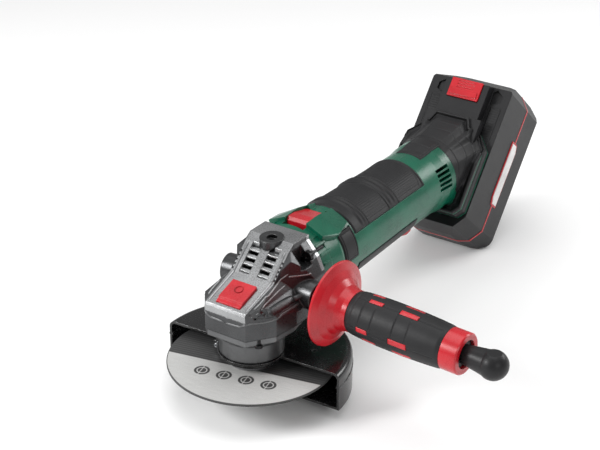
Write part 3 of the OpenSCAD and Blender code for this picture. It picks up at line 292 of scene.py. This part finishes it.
def castMetal(name, look):
    made = Finish(name)
    soft = made.rounded(look["edge"] / 1000)
    grain = made.noise(1000 / look["grain"], 4.0, 0.6)
    cloud = made.noise(30.0, 5.0)
    worn = made.edges(soft)
    dark = tuple(c * 0.78 for c in look["colour"])
    light = tuple(min(1.0, c * 1.2 + 0.004) for c in look["colour"])
    bare = (look["wear"],) * 3
    rubbed = worn * made.noise(240.0, 4.0).ramp(0.38, 0.62) * 0.6
    colour = made.mix(cloud.ramp(0.3, 0.7), dark, light)
    colour = made.mix(rubbed, colour, bare)
    roughness = grain.ramp(0.3, 0.7, (look["roughness"] - 0.06, look["roughness"] + 0.08)) \
        + (cloud - 0.5) * 0.14
    return made.done(colour=colour, roughness=roughness, metallic=look["metallic"],
                     normal=made.bump(grain, look["depth"] / 1000, soft), specular=0.5)


finishes = {name: mouldedPlastic(name, look) for name, look in mouldings.items()}
finishes.update({name: castMetal(name, look) for name, look in metals.items()})

discLook = {
    "light": (0.50, 0.50, 0.49), "print": (0.016, 0.016, 0.017), "rim": (0.05, 0.05, 0.05),
    "rimRadius": 61.9,          # mm
    "turn": 11.9,               # degrees the printed band is turned round the disc
    "bandEdge": -15.4,          # mm from the middle, the band lies behind this line
    "ringRow": -29.3, "ringPitch": 17.4, "ringStart": -26.6, "ringEnd": 34.3, "ringRadius": 4.9,
    "ringWidth": 0.75,
}


def bondedDisc(look):
    # brushed paper label on a gritty disc: a dark band behind a chord and a row of plain rings
    made = Finish("abrasive_disc")
    x, y, z = (axis * 1000.0 for axis in made.axes())
    c, n = math.cos(math.radians(look["turn"])), math.sin(math.radians(look["turn"]))
    along, across = x * c + y * n, y * c - x * n
    far = (x * x + y * y) ** 0.5
    streak = made.noise(1.0, 3.0, 0.6, made.add("ShaderNodeCombineXYZ", {},
                                                {0: along * 0.09, 1: across * 3.2, 2: 0.0}))
    speck = made.noise(1400.0, 3.0)
    grit = made.cells(1500.0)
    colour = made.mix(streak.ramp(0.25, 0.75), tuple(v * 0.82 for v in look["light"]),
                      tuple(v * 1.18 for v in look["light"]))
    colour = made.mix(speck.ramp(0.45, 0.8) * 0.25, colour, (0.2, 0.2, 0.2))
    first = look["ringStart"] - look["ringPitch"] / 2
    step = (((along - first) / look["ringPitch"]).sum("FRACT") - 0.5) * look["ringPitch"]
    down = across - look["ringRow"]
    away = (step * step + down * down) ** 0.5
    ring = (away - look["ringRadius"]).sum("ABSOLUTE").ramp(look["ringWidth"], look["ringWidth"] + 0.35,
                                                            (1.0, 0.0))
    dot = away.ramp(3.0, 3.4, (1.0, 0.0)) - (step + 0.6).sum("ABSOLUTE").ramp(0.3, 0.6, (1.0, 0.0)) * 0.7
    row = along.ramp(first, first + 0.1) * along.ramp(look["ringEnd"], look["ringEnd"] + 0.1, (1.0, 0.0))
    marks = (ring + dot).clamp() * row * away.ramp(5.8, 6.2, (1.0, 0.0))
    band = across.ramp(look["bandEdge"], look["bandEdge"] + 0.4)
    rules = (across * 2.4).sum("SINE").ramp(0.75, 0.95) * 0.10
    ink = ((marks + band).clamp() * (0.94 - rules)).clamp()
    colour = made.mix(ink, colour, look["print"])
    colour = made.mix(far.ramp(look["rimRadius"] - 0.2, look["rimRadius"] + 0.1), colour, look["rim"])
    side = made.add("ShaderNodeNewGeometry", {}, {}, "Normal")
    flat = made.axes(side)[2].sum("ABSOLUTE").ramp(0.4, 0.8)
    colour = made.mix(flat, look["rim"], colour)
    return made.done(colour=colour, roughness=speck.ramp(0.3, 0.7, (0.42, 0.58)) + (streak - 0.5) * 0.2,
                     normal=made.bump(grit * 0.5 + streak * 0.5, 0.00006), specular=0.4)


finishes["abrasive_disc"] = bondedDisc(discLook)

for part in frame["record"]["subparts"]:
    piece = nodes[part["node"]]
    finish = finishes.get(part["material_slot"])
    if finish is not None:
        for slot in piece.material_slots:
            slot.material = finish


def gridFaces(rows, columns, wrapRows=False, wrapColumns=False, flip=False):
    # quads of a grid of points, as indices row * columns + column
    r = np.arange(rows if wrapRows else rows - 1)[:, None]
    c = np.arange(columns if wrapColumns else columns - 1)[None, :]
    rNext, cNext = (r + 1) % rows, (c + 1) % columns
    quads = np.stack(np.broadcast_arrays(r * columns + c, rNext * columns + c,
                                         rNext * columns + cNext, r * columns + cNext),
                     axis=-1).reshape(-1, 4)
    return quads[:, ::-1] if flip else quads


def meshPiece(name, points, quads, body, slot, replaced=(), smooth=True):
    mesh = bpy.data.meshes.new(name)
    mesh.from_pydata(points.reshape(-1, 3).tolist(), [], quads.tolist())
    mesh.polygons.foreach_set("use_smooth", np.full(len(mesh.polygons), smooth))
    mesh.validate()
    piece = bpy.data.objects.new(name, mesh)
    bpy.context.scene.collection.objects.link(piece)
    mesh.materials.append(finishes[slot])
    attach(piece, body)
    if replaced:
        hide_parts(*replaced)
    return piece


def slabPiece(name, outer, inner, body, slot, replaced=()):
    # a closed slab between two grids of the same size: both faces and the four edges
    rows, columns = outer.shape[:2]
    points = np.concatenate([outer.reshape(-1, 3), inner.reshape(-1, 3)])
    index = np.arange(rows * columns).reshape(rows, columns)
    back = rows * columns
    front = gridFaces(rows, columns)
    rear = gridFaces(rows, columns, flip=True) + back
    sides = []
    for line, turned in ((index[0, :], False), (index[-1, :], True), (index[:, 0], True),
                         (index[:, -1], False)):
        strip = np.stack([line[:-1], line[1:], line[1:] + back, line[:-1] + back], axis=-1)
        sides.append(strip[:, ::-1] if turned else strip)
    return meshPiece(name, points, np.concatenate([front, rear] + sides), body, slot, replaced)


def fixNormals(piece):
    # turns every face outwards, after points that coincide are merged
    work = bmesh.new()
    work.from_mesh(piece.data)
    bmesh.ops.remove_doubles(work, verts=work.verts, dist=1e-6)
    bmesh.ops.recalc_face_normals(work, faces=work.faces)
    work.to_mesh(piece.data)
    work.free()
    return piece


def dip(x, width):
    return np.exp(-(x / width) ** 2)


def rise(x, low, high):
    # smooth step from 0 at low to 1 at high
    t = np.clip((x - low) / (high - low), 0, 1)
    return t * t * (3 - 2 * t)


def inside(x, low, high, soft):
    return rise(x, low - soft / 2, low + soft / 2) * (1 - rise(x, high - soft / 2, high + soft / 2))


handle = {
    "rim": (0.05365, 0.0256, 0.0515),
    "lean": 2.5, "drop": 1.2,
    "start": 20.15, "end": 96.85,      # mm along the handle
    "bore": 13.06,
    "swell": 17.0,
    "faces": (238.0, 118.0, 358.0),     # middles of the three ribbed faces, in degrees round the handle
    "halfFace": 40.0,
    "pads": ((32.5, 42.0), (60.0, 71.0)),
    "relief": 0.5,
}


def handlePoints(along, radius, angle):
    # from distance along the handle, radius and angle in degrees, all in mm, to metres in the frame
    lean, tip = math.radians(-handle["lean"]), math.radians(90 + handle["drop"])
    a = np.radians(angle)
    x, y, z = radius * np.cos(a), radius * np.sin(a), along + 0 * a
    xr, zr = x * math.cos(tip) + z * math.sin(tip), -x * math.sin(tip) + z * math.cos(tip)
    xw, yw = xr * math.cos(lean) - y * math.sin(lean), xr * math.sin(lean) + y * math.cos(lean)
    rim = handle["rim"]
    return np.stack([xw / 1000 + rim[0], yw / 1000 + rim[1], zr / 1000 + rim[2]], axis=-1)


def gripProfile(s):
    # radius in mm at distance s: it swells over the first third and thins to the collar
    t = (s - handle["start"]) / (handle["end"] - handle["start"])
    return np.interp(t, [0, 0.03, 0.16, 0.32, 0.62, 0.86, 0.97, 1.0],
                     [15.3, 15.9, 16.6, handle["swell"], handle["swell"], 16.2, 15.6, 15.1])


def faceAngle(angle, middle):
    return (angle - middle + 180) % 360 - 180


def gripRelief(s, angle):
    # sunk lines across each face at the pads' ends, lines along its sides, and a fine rib on each pad
    depth = np.zeros(np.broadcast(s, angle).shape)
    for middle in handle["faces"]:
        a = faceAngle(angle, middle)
        onFace = inside(a, -handle["halfFace"], handle["halfFace"], 2.0)
        bow = 1.6 * (a / handle["halfFace"]) ** 2
        for low, high in handle["pads"]:
            for edge, reach in ((low, 1.0), (high, 0.72)):
                across = inside(a, -handle["halfFace"] * reach, handle["halfFace"] * reach, 3.0)
                depth -= 0.55 * dip(s - edge + bow, 0.42) * across
            pad = inside(s + bow, low + 0.6, high - 0.6, 0.6) * inside(a, -30, 30, 2.0)
            depth -= 0.16 * pad
            depth += 0.10 * pad * np.sin((s * 1.0 + a * 0.30) * 5.2) * np.sin((s * 1.0 - a * 0.30) * 5.2)
        for side in (-1, 1):
            depth -= (0.40 * dip((a - side * handle["halfFace"]) * 0.297, 0.5)
                      * inside(s, handle["start"] + 4, 93.5, 1.5))
        depth += 0.22 * onFace * inside(s, handle["start"] + 3, 95, 3)
    depth -= 0.5 * dip(s - handle["start"] - 4.2, 0.5) * 0.6
    return depth


inlays = {
    # start and end along the handle, offset of the inlay's middle round it, half its width in degrees
    "places": ((33.6, 44.5, -44.0, 5.5), (30.5, 39.5, 41.0, 6.5), (59.0, 73.5, -44.0, 7.0),
               (57.5, 72.0, 38.0, 7.5)),
    "proud": 0.12,
}


def makeHandleGrip():
    s = np.linspace(handle["start"], handle["end"], 250)[:, None]
    angle = np.linspace(0, 360, 330, endpoint=False)[None, :]
    radius = gripProfile(s) + gripRelief(s, angle)
    for middle in handle["faces"]:
        a = faceAngle(angle, middle)
        for low, high, offset, half in inlays["places"]:
            box = (inside(s, low - 0.5, high + 0.5, 0.8)
                   * inside(a, offset - half - 1.6, offset + half + 1.6, 2.2))
            radius = radius - 0.55 * box
    outer = handlePoints(s, radius, angle)
    rows = len(s)
    tube = handlePoints(s[::-1], np.full_like(radius, handle["bore"]), angle)
    loop = np.concatenate([outer, tube])
    grip = meshPiece("handle_grip_sleeve", loop, gridFaces(2 * rows, outer.shape[1], True, True),
                     "side_handle",
                     "soft_black", ("handle_grip",))
    fixNormals(grip)
    for faceIndex, middle in enumerate(handle["faces"]):
        for index, (low, high, offset, half) in enumerate(inlays["places"]):
            makeInlay(f"handle_inlay_{faceIndex}_{index}", low, high, middle + offset, half)


def makeInlay(name, low, high, middle, half):
    # a small pillow that follows the grip's own curve, rounded at its rim
    u = np.linspace(-1, 1, 26)[:, None]
    v = np.linspace(-1, 1, 22)[None, :]
    s = (low + high) / 2 + (high - low) / 2 * u
    angle = middle + half * v + 0 * u
    crown = (1 - np.clip(np.maximum(abs(u), abs(v)), 0.82, 1.0)) / 0.18
    top = gripProfile(s) + inlays["proud"] + 0.22 * (crown - 1)
    outer = handlePoints(s + 0 * v, top, angle)
    inner = handlePoints(s + 0 * v, np.full_like(top, 14.2), angle)
    fixNormals(slabPiece(name, outer, inner, "side_handle", "red_plastic"))


makeHandleGrip()
print("stage: handle grip")


barrel = {
    "axis": 53.4, "ringRadius": 34.0, "front": 31.5, "rear": 29.3,
    "ringEnd": 74.0, "middle": 180.0, "sink": 1.2,
}
saddle = {
    "angles": (30.4, 149.6), "length": (96.3, 201.7),
    "panels": ((116.0, 146.5), (161.0, 198.5)),
    "bands": ((105.8, 115.2), (147.6, 160.0)),
    "height": 1.0, "ridge": 1.5,
}


def barrelRadius(y):
    return np.interp(y, [barrel["ringEnd"], barrel["middle"], 230.0],
                     [barrel["front"], barrel["rear"], barrel["rear"]])


def barrelPoints(y, radius, angle):
    a = np.radians(angle)
    return np.stack([radius * np.cos(a), y + 0 * a, barrel["axis"] + radius * np.sin(a)], axis=-1) / 1000


def saddleHeight(y, angle):
    # height over the barrel's skin: a base, sunk textured panels, round ridges between them,
    # and dark lines at their ends
    side = abs(angle - 90)
    height = np.full(np.broadcast(y, angle).shape, saddle["height"])
    for low, high in saddle["panels"]:
        bow = 5.0 * (side / 60) ** 4
        onPanel = (inside(y + 0 * angle, low + 0.8, high - 0.8 - (bow if high > 190 else 0), 1.4)
                   * (1 - rise(side, 55.5, 57.5)))
        height = height - 0.35 * onPanel
        height = height + 0.16 * onPanel * np.sin(y * 4.4 + angle * 0.9) * np.sin(y * 4.4 - angle * 0.9)
        for edge in (low, high):
            height = height - 0.75 * dip(y - edge, 0.55) * (1 - rise(side, 58.5, 59.6))
    for low, high in saddle["bands"]:
        onBand = 1 - rise(side, 46.0, 58.0)
        for share in (0.28, 0.74):
            height = height + 0.95 * dip(y - low - share * (high - low), 1.5) * onBand
    rim = np.minimum(np.minimum(y - saddle["length"][0], saddle["length"][1] - y) + 0 * side,
                     (59.6 - side) * 0.53 + 0 * y)
    return height * 1.0 - 0.95 * (1 - rise(rim, 0, 1.3))


def makeSaddle():
    y = np.linspace(saddle["length"][0], saddle["length"][1], 330)[:, None]
    angle = np.linspace(saddle["angles"][0], saddle["angles"][1], 220)[None, :]
    outer = barrelPoints(y, barrelRadius(y) + saddleHeight(y, angle), angle)
    inner = barrelPoints(y, barrelRadius(y) - barrel["sink"] + 0.05 + 0 * angle, angle)
    fixNormals(slabPiece("grip_saddle_moulding", outer, inner, "tool", "soft_black",
                         ("grip_saddle", "grip_panels")))


makeSaddle()

sidePad = {"angles": (0.2, 44.8), "length": (76.2, 94.4), "corner": 4.0}


def makeSidePads():
    # a cushion with cut corners, a dark line round its face and a fine rib
    y = np.linspace(sidePad["length"][0], sidePad["length"][1], 90)[:, None]
    angle = np.linspace(sidePad["angles"][0], sidePad["angles"][1], 110)[None, :]
    across = (angle - sidePad["angles"][0]) * 0.55
    edge = np.minimum(np.minimum(y - sidePad["length"][0], sidePad["length"][1] - y) + 0 * across,
                      np.minimum(across, (sidePad["angles"][1] - angle) * 0.55) + 0 * y)
    height = 1.0 - 0.9 * (1 - rise(edge, 0, 0.9)) - 0.5 * dip(edge - 2.1, 0.45) + 0.12 * rise(edge, 2.4, 3.4)
    for side, name in ((1, "side_pad_right"), (-1, "side_pad_left")):
        outer = barrelPoints(y, barrelRadius(y) + height, angle)
        inner = barrelPoints(y, barrelRadius(y) - barrel["sink"] + 0.05 + 0 * angle, angle)
        for grid in (outer, inner):
            grid[..., 0] *= side
        fixNormals(slabPiece(name, outer, inner, "tool", "soft_black", ("side_pads",)))


makeSidePads()
print("stage: barrel grips")


neck = {
    "start": 246.6, "radius": 29.9,     # the round end of the barrel, mm
    "packPlace": (0.0, 320.5, 39.5), "lean": 40.0,
    "outline": ((-37, -54), (-32, -60), (32, -60), (37, -54), (37, 0), (26, 13), (19, 14), (15, 22),
                (-15, 22), (-19, 14), (-26, 13), (-37, 0)),
    "middle": -20.0, "front": -57.3, "thin": 11.0, "loftInset": 6.0,
    "bands": ((-53.62, -52.24), (-43.32, -42.0)),
    "creases": (0.20, 0.56, 0.86),
    "doorway": (66.5, 113.5),           # degrees round the foot between which its top is open
}


def packPoints(x, y, z):
    # from the leaning battery's own x, y and z in mm to metres in the frame
    c, n = math.cos(math.radians(neck["lean"])), math.sin(math.radians(neck["lean"]))
    p = neck["packPlace"]
    return np.stack(np.broadcast_arrays(p[0] + x, p[1] + y * c + z * n, p[2] - y * n + z * c),
                    axis=-1) / 1000


def outlineReach(angle):
    # distance from the foot's middle to its outline in each direction: the nearest side that the ray meets
    corners = np.array(neck["outline"], float) - (0, neck["middle"])
    a = np.radians(angle)
    reach = np.full(a.shape, 1e9)
    for p, q in zip(corners, np.roll(corners, -1, axis=0)):
        side = q - p
        across = np.cos(a) * side[1] - np.sin(a) * side[0]
        far = (p[0] * side[1] - p[1] * side[0]) / np.where(abs(across) < 1e-9, 1e-9, across)
        where = (far * np.cos(a) - p[0]) * side[0] + (far * np.sin(a) - p[1]) * side[1]
        hit = (far > 0) & (where >= -1e-6) & (where <= side @ side + 1e-6)
        reach = np.where(hit, np.minimum(reach, far), reach)
    return reach


def footFront(x, z):
    # the foot's forward face steps back on its flanks towards the top
    return neck["front"] + neck["thin"] * np.clip((z + 14) / 30, 0, 1) * rise(abs(x), 20.5, 24.0)


def footRow(angle, inset, y, shift=0.0):
    reach = outlineReach(angle) - inset
    x, z = reach * np.cos(np.radians(angle)), neck["middle"] + reach * np.sin(np.radians(angle))
    return packPoints(x, np.maximum(y, footFront(x, z)) + shift, z)


def neckAngles():
    corners = np.array(neck["outline"], float) - (0, neck["middle"])
    sharp = np.degrees(np.arctan2(corners[:, 1], corners[:, 0])) % 360
    return np.sort(np.concatenate([np.arange(0, 360, 1.5), sharp - 0.25, sharp + 0.25]) % 360)


def makeNeck():
    angle = neckAngles()
    a = np.radians(angle)
    radius = neck["radius"]
    ring = np.stack([radius * np.cos(a), 0 * a + neck["start"], 53.4 + radius * np.sin(a)], axis=-1) / 1000
    smooth = outlineReach(angle) - neck["loftInset"]
    wide = np.concatenate([smooth, smooth, smooth])
    kernel = np.hanning(17)
    smooth = np.convolve(wide, kernel / kernel.sum(), "same")[len(smooth):2 * len(smooth)]
    x, z = smooth * np.cos(a), neck["middle"] + smooth * np.sin(a)
    end = packPoints(x, footFront(x, z), z)
    rows = []
    for t in np.linspace(0, 1, 90):
        row = ring + (end - ring) * t
        heart = row.mean(axis=0)
        out = (row - heart) / np.linalg.norm(row - heart, axis=1, keepdims=True)
        fold = sum(-0.00045 * np.exp(-((t - at) / 0.010) ** 2) for at in neck["creases"][:2])
        rib = 0.00028 * np.exp(-((t - neck["creases"][2]) / 0.02) ** 2)
        rows.append(row + out * (0.0003 + fold + rib))
    for inset, y, shift in ((3.5, -99, 0.1), (1.1, -99, 0.05), (0.45, -99, 0.25), (0.1, -99, 0.7),
                            (0, -99, 1.2),
                            (0, neck["bands"][0][0] - 0.3, 0), (0.3, neck["bands"][0][0], 0),
                            (1.1, neck["bands"][0][0], 0)):
        rows.append(footRow(angle, inset, y, shift))
    outer = np.stack(rows)
    heart = outer.mean(axis=1, keepdims=True)
    out = (outer - heart) / np.linalg.norm(outer - heart, axis=2, keepdims=True)
    inner = outer - out * 0.0009
    loop = np.concatenate([outer, inner[::-1]])
    count = len(angle)
    fixNormals(meshPiece("neck_cover", loop, gridFaces(len(loop), count, True, True), "tool", "soft_black",
                         ("neck_grip",)))
    low, high = neck["bands"][0][1], neck["bands"][1][0]
    # the strip stays open on top, where the battery's tongue slides through,
    # and each end is drawn to a point
    right, left = neck["doorway"]
    around = np.concatenate([[left], angle[angle > left], angle[angle < right] + 360, [right + 360]])
    strip = np.stack([footRow(around, inset, y) for inset, y in
                      ((1.1, low), (0.3, low), (0, low + 0.3), (0, high - 0.3), (0.3, high), (1.1, high))])
    ends = [np.repeat(strip[:, [at]].mean(axis=0, keepdims=True), len(strip), axis=0) for at in (0, -1)]
    strip = np.concatenate([ends[0], strip, ends[1]], axis=1)
    fixNormals(meshPiece("foot_strip", strip, gridFaces(len(strip), strip.shape[1], True, False), "tool",
                         "soft_black"))


makeNeck()

neckTab = {"angles": (67.0, 113.0), "length": (218.0, 248.5), "height": 0.9, "line": 236.0}


def makeNeckTab():
    # tongue of the neck's soft skin that runs forward along the top of the barrel
    y = np.linspace(neckTab["length"][0], neckTab["length"][1], 120)[:, None]
    angle = np.linspace(neckTab["angles"][0], neckTab["angles"][1], 90)[None, :]
    skin = np.interp(y, [200.0, 226.0, 236.0, 250.0], [29.3, 29.3, 30.7, 30.7])
    side = (np.minimum(angle - neckTab["angles"][0], neckTab["angles"][1] - angle)) * 0.52
    edge = np.minimum(side + 0 * y, y - neckTab["length"][0] + 0 * angle)
    height = (neckTab["height"] * rise(edge, 0, 1.0) - 0.45 * dip(y - neckTab["line"], 0.5)
              - 0.3 * dip(edge - 2.4, 0.4))
    outer = barrelPoints(y, skin + height, angle)
    inner = barrelPoints(y, skin - 0.9 + 0 * angle, angle)
    fixNormals(slabPiece("neck_tab", outer, inner, "tool", "soft_black"))


makeNeckTab()

tread = {"x": (23.5, 33.5), "z": (-2.0, 40.0), "face": -41.5, "pitch": 1.5, "height": 0.35}


def makeTreads():
    # knurled strips on the pack's forward face, one each side: sin(u + v) * sin(u - v)
    x = np.linspace(tread["x"][0], tread["x"][1], 90)[:, None]
    z = np.linspace(tread["z"][0], tread["z"][1], 300)[None, :]
    wave = 2 * math.pi / tread["pitch"]
    edge = np.minimum(np.minimum(x - tread["x"][0], tread["x"][1] - x) + 0 * z,
                      np.minimum(z - tread["z"][0], tread["z"][1] - z) + 0 * x)
    knurl = 0.5 + 0.5 * np.sin((x + z * 0.5) * wave / 1.4) * np.sin((x - z * 0.5) * wave / 1.4)
    height = tread["height"] * rise(edge, 0, 0.8) * (0.55 + 0.45 * knurl)
    for side, name in ((1, "pack_tread_right"), (-1, "pack_tread_left")):
        outer = packPoints(side * x, tread["face"] - height, z)
        inner = packPoints(side * x, tread["face"] + 0.4 + 0 * height, z)
        fixNormals(slabPiece(name, outer, inner, "battery", "black_plastic"))


makeTreads()
print("stage: neck, foot and pack strips")


casting = {
    # raised lines of the gear head: points in mm laid on its surface, radius in mm and finish
    # the two crease lines wear the light silver finish as a painted highlight: they paint in the bright
    # lines where the dark flank's creases catch the light
    "crease_highlight_upper": (((19.0, -29.9, 53.8), (20.6, -19.1, 59.6), (20.4, -6.1, 63.0), (19.6, 8.3, 66.8),
                      (22.4, 14.1, 70.5)),
                     0.5, "silver_hood"),
    "crease_highlight_lower": (((19.9, -28.9, 53.6), (22.8, -16.5, 59.2), (21.9, 3.5, 61.8), (22.4, 12.4, 62.8)),
                     0.4, "silver_hood"),
    "belt": (((32.0, 15.0, 49.6), (31.4, -5.5, 50.0), (27.8, -17.5, 48.0), (23.9, -23.0, 48.2),
              (19.6, -29.0, 49.0),
              (16.4, -32.0, 48.2), (13.2, -32.0, 45.8), (0.0, -32.0, 45.3)), 0.75, "grey_casting"),
    "pocket_rim": (((22.6, 14.1, 68.1), (27.1, 20.8, 67.3), (31.8, 29.8, 66.7)), 0.6, "silver_hood"),
    "rail": (((16.0, -30.6, 57.0), (16.3, -23.0, 60.4), (16.3, -8.0, 65.6), (16.4, 0.5, 67.0),
              (16.4, 10.0, 75.4),
              (16.0, 19.6, 84.4)), 1.0, "silver_hood"),
}
flankPanel = {
    "upper": ((22.2, -25.4, 53.4), (25.5, -15.4, 56.9), (25.6, -3.3, 57.0), (27.0, 9.7, 56.8),
              (31.7, 16.4, 56.3)),
    "lower": ((22.0, -24.6, 51.6), (28.2, -16.9, 50.6), (30.5, -7.9, 51.7), (31.2, 5.8, 52.4),
              (33.2, 15.8, 54.6)),
    "proud": 0.8, "sunk": 0.5,
}


def headSurface():
    # the rest surface of the gear head, to lay points on
    points, faces = [], []
    for name in ("gear_case", "hood"):
        piece = nodes[name]
        start = len(points)
        points += [piece.matrix_world @ v.co for v in piece.data.vertices]
        faces += [[start + i for i in face.vertices] for face in piece.data.polygons]
    return BVHTree.FromPolygons(points, faces)


def layOn(surface, point):
    place, normal = surface.find_nearest(Vector(point) / 1000)[:2]
    return np.array(place) * 1000, np.array(normal)


def alongLine(points, count):
    # even steps along straight lines between the points, then softened at the corners
    points = np.array(points, float)
    far = np.concatenate([[0], np.cumsum(np.linalg.norm(np.diff(points, axis=0), axis=1))])
    s = np.linspace(0, far[-1], count)
    line = np.stack([np.interp(s, far, points[:, k]) for k in range(3)], axis=1)
    for k in range(4):
        line[1:-1] = line[:-2] * 0.25 + line[1:-1] * 0.5 + line[2:] * 0.25
    return line


def makeBead(name, points, radius, slot, surface):
    # a half-round line on the surface that thins out at both ends
    line = alongLine(points, 90)
    laid = [layOn(surface, p) for p in line]
    heart = np.array([p for p, n in laid])
    normal = np.array([n for p, n in laid])
    for k in range(3):
        heart[1:-1] = heart[:-2] * 0.25 + heart[1:-1] * 0.5 + heart[2:] * 0.25
        normal[1:-1] = normal[:-2] + normal[1:-1] * 2 + normal[2:]
        normal /= np.linalg.norm(normal, axis=1, keepdims=True)
    ahead = np.gradient(heart, axis=0)
    ahead /= np.linalg.norm(ahead, axis=1, keepdims=True)
    side = np.cross(ahead, normal)
    t = np.linspace(0, 1, len(line))
    size = radius * np.sqrt(np.clip(np.minimum(t, 1 - t) / 0.06, 0, 1))[:, None, None]
    turn = np.linspace(0, 2 * math.pi, 14, endpoint=False)[None, :, None]
    tube = heart[:, None] + size * (np.cos(turn) * 0.8 * normal[:, None]
                                    + np.sin(turn) * 1.15 * side[:, None])
    fixNormals(meshPiece(name, tube / 1000, gridFaces(len(line), 14, False, True), "tool", slot))


def makeFlankPanel(name, side, surface):
    # a polished facet between two curves: a low pillow, proud * (1 - u^6) * (1 - v^4)
    flip = np.array((side, 1, 1))
    upper, lower = (alongLine(flankPanel[k], 70) * flip for k in ("upper", "lower"))
    share = np.linspace(0, 1, 26)
    outer, inner = np.zeros((70, 26, 3)), np.zeros((70, 26, 3))
    for i in range(70):
        for j, v in enumerate(share):
            place, normal = layOn(surface, upper[i] * (1 - v) + lower[i] * v)
            u = 2 * i / 69 - 1
            lift = flankPanel["proud"] * (1 - u ** 6) * (1 - (2 * v - 1) ** 4)
            outer[i, j] = place + normal * lift
            inner[i, j] = place - normal * flankPanel["sunk"]
    for k in range(3):
        outer[1:-1] = outer[:-2] * 0.25 + outer[1:-1] * 0.5 + outer[2:] * 0.25
        outer[:, 1:-1] = outer[:, :-2] * 0.25 + outer[:, 1:-1] * 0.5 + outer[:, 2:] * 0.25
    fixNormals(slabPiece(name, outer / 1000, inner / 1000, "tool", "graphite_casting"))


def makeHeadDetails():
    surface = headSurface()
    for name, (points, radius, slot) in casting.items():
        for side, tag in ((1, "right"), (-1, "left")):
            makeBead(f"{name}_{tag}", [(side * x, y, z) for x, y, z in points], radius, slot, surface)
    makeFlankPanel("flank_facet_right", 1, surface)
    makeFlankPanel("flank_facet_left", -1, surface)


makeHeadDetails()
print("stage: gear head details")


studio = {
    "floor": (0.94, 0.94, 0.94), "world": 0.38,
    # place, size and power of each soft light
    "lights": {
        "overhead": ((0.0, 0.25, 1.5), (1.5, 1.5), 15.0),
        "key": ((-0.7, -0.85, 0.7), (0.5, 0.4), 13.0),
        "edge": ((0.55, 0.95, 0.55), (0.5, 0.3), 3.5),
        "front": ((0.95, -0.4, 0.45), (0.3, 0.3), 1.2),
    },
}


def areaLight(name, place, target, size, power):
    lamp = bpy.data.objects.new(name, bpy.data.lights.new(name, "AREA"))
    bpy.context.scene.collection.objects.link(lamp)
    lamp.data.shape, lamp.data.size, lamp.data.size_y = "RECTANGLE", size[0], size[1]
    lamp.data.energy = power
    aim = Vector(target) - Vector(place)
    lamp.matrix_world = Matrix.Translation(place) @ aim.to_track_quat("-Z", "Y").to_matrix().to_4x4()
    return lamp


def makeStudio(look):
    floorMesh = bpy.data.meshes.new("floor")
    low = cadBox[0][2] - 0.0004
    reach = 6.0
    floorMesh.from_pydata([(-reach, -reach, low), (reach, -reach, low), (reach, reach, low),
                           (-reach, reach, low)],
                          [], [(0, 1, 2, 3)])
    floor = bpy.data.objects.new("floor", floorMesh)
    bpy.context.scene.collection.objects.link(floor)
    paper = bpy.data.materials.new("paper")
    paper.use_nodes = True
    shader = paper.node_tree.nodes["Principled BSDF"]
    shader.inputs["Base Color"].default_value = look["floor"] + (1.0,)
    shader.inputs["Roughness"].default_value = 0.9
    floorMesh.materials.append(paper)
    world = bpy.data.worlds.new("studio")
    bpy.context.scene.world = world
    world.use_nodes = True
    sky = world.node_tree.nodes["Background"]
    sky.inputs["Color"].default_value = (1.0, 1.0, 1.0, 1.0)
    sky.inputs["Strength"].default_value = look["world"]
    middle = (0.03, 0.12, 0.04)
    for name, (place, size, power) in look["lights"].items():
        areaLight(name, place, middle, size, power)
    bpy.context.scene.view_settings.view_transform = "Standard"


makeStudio(studio)
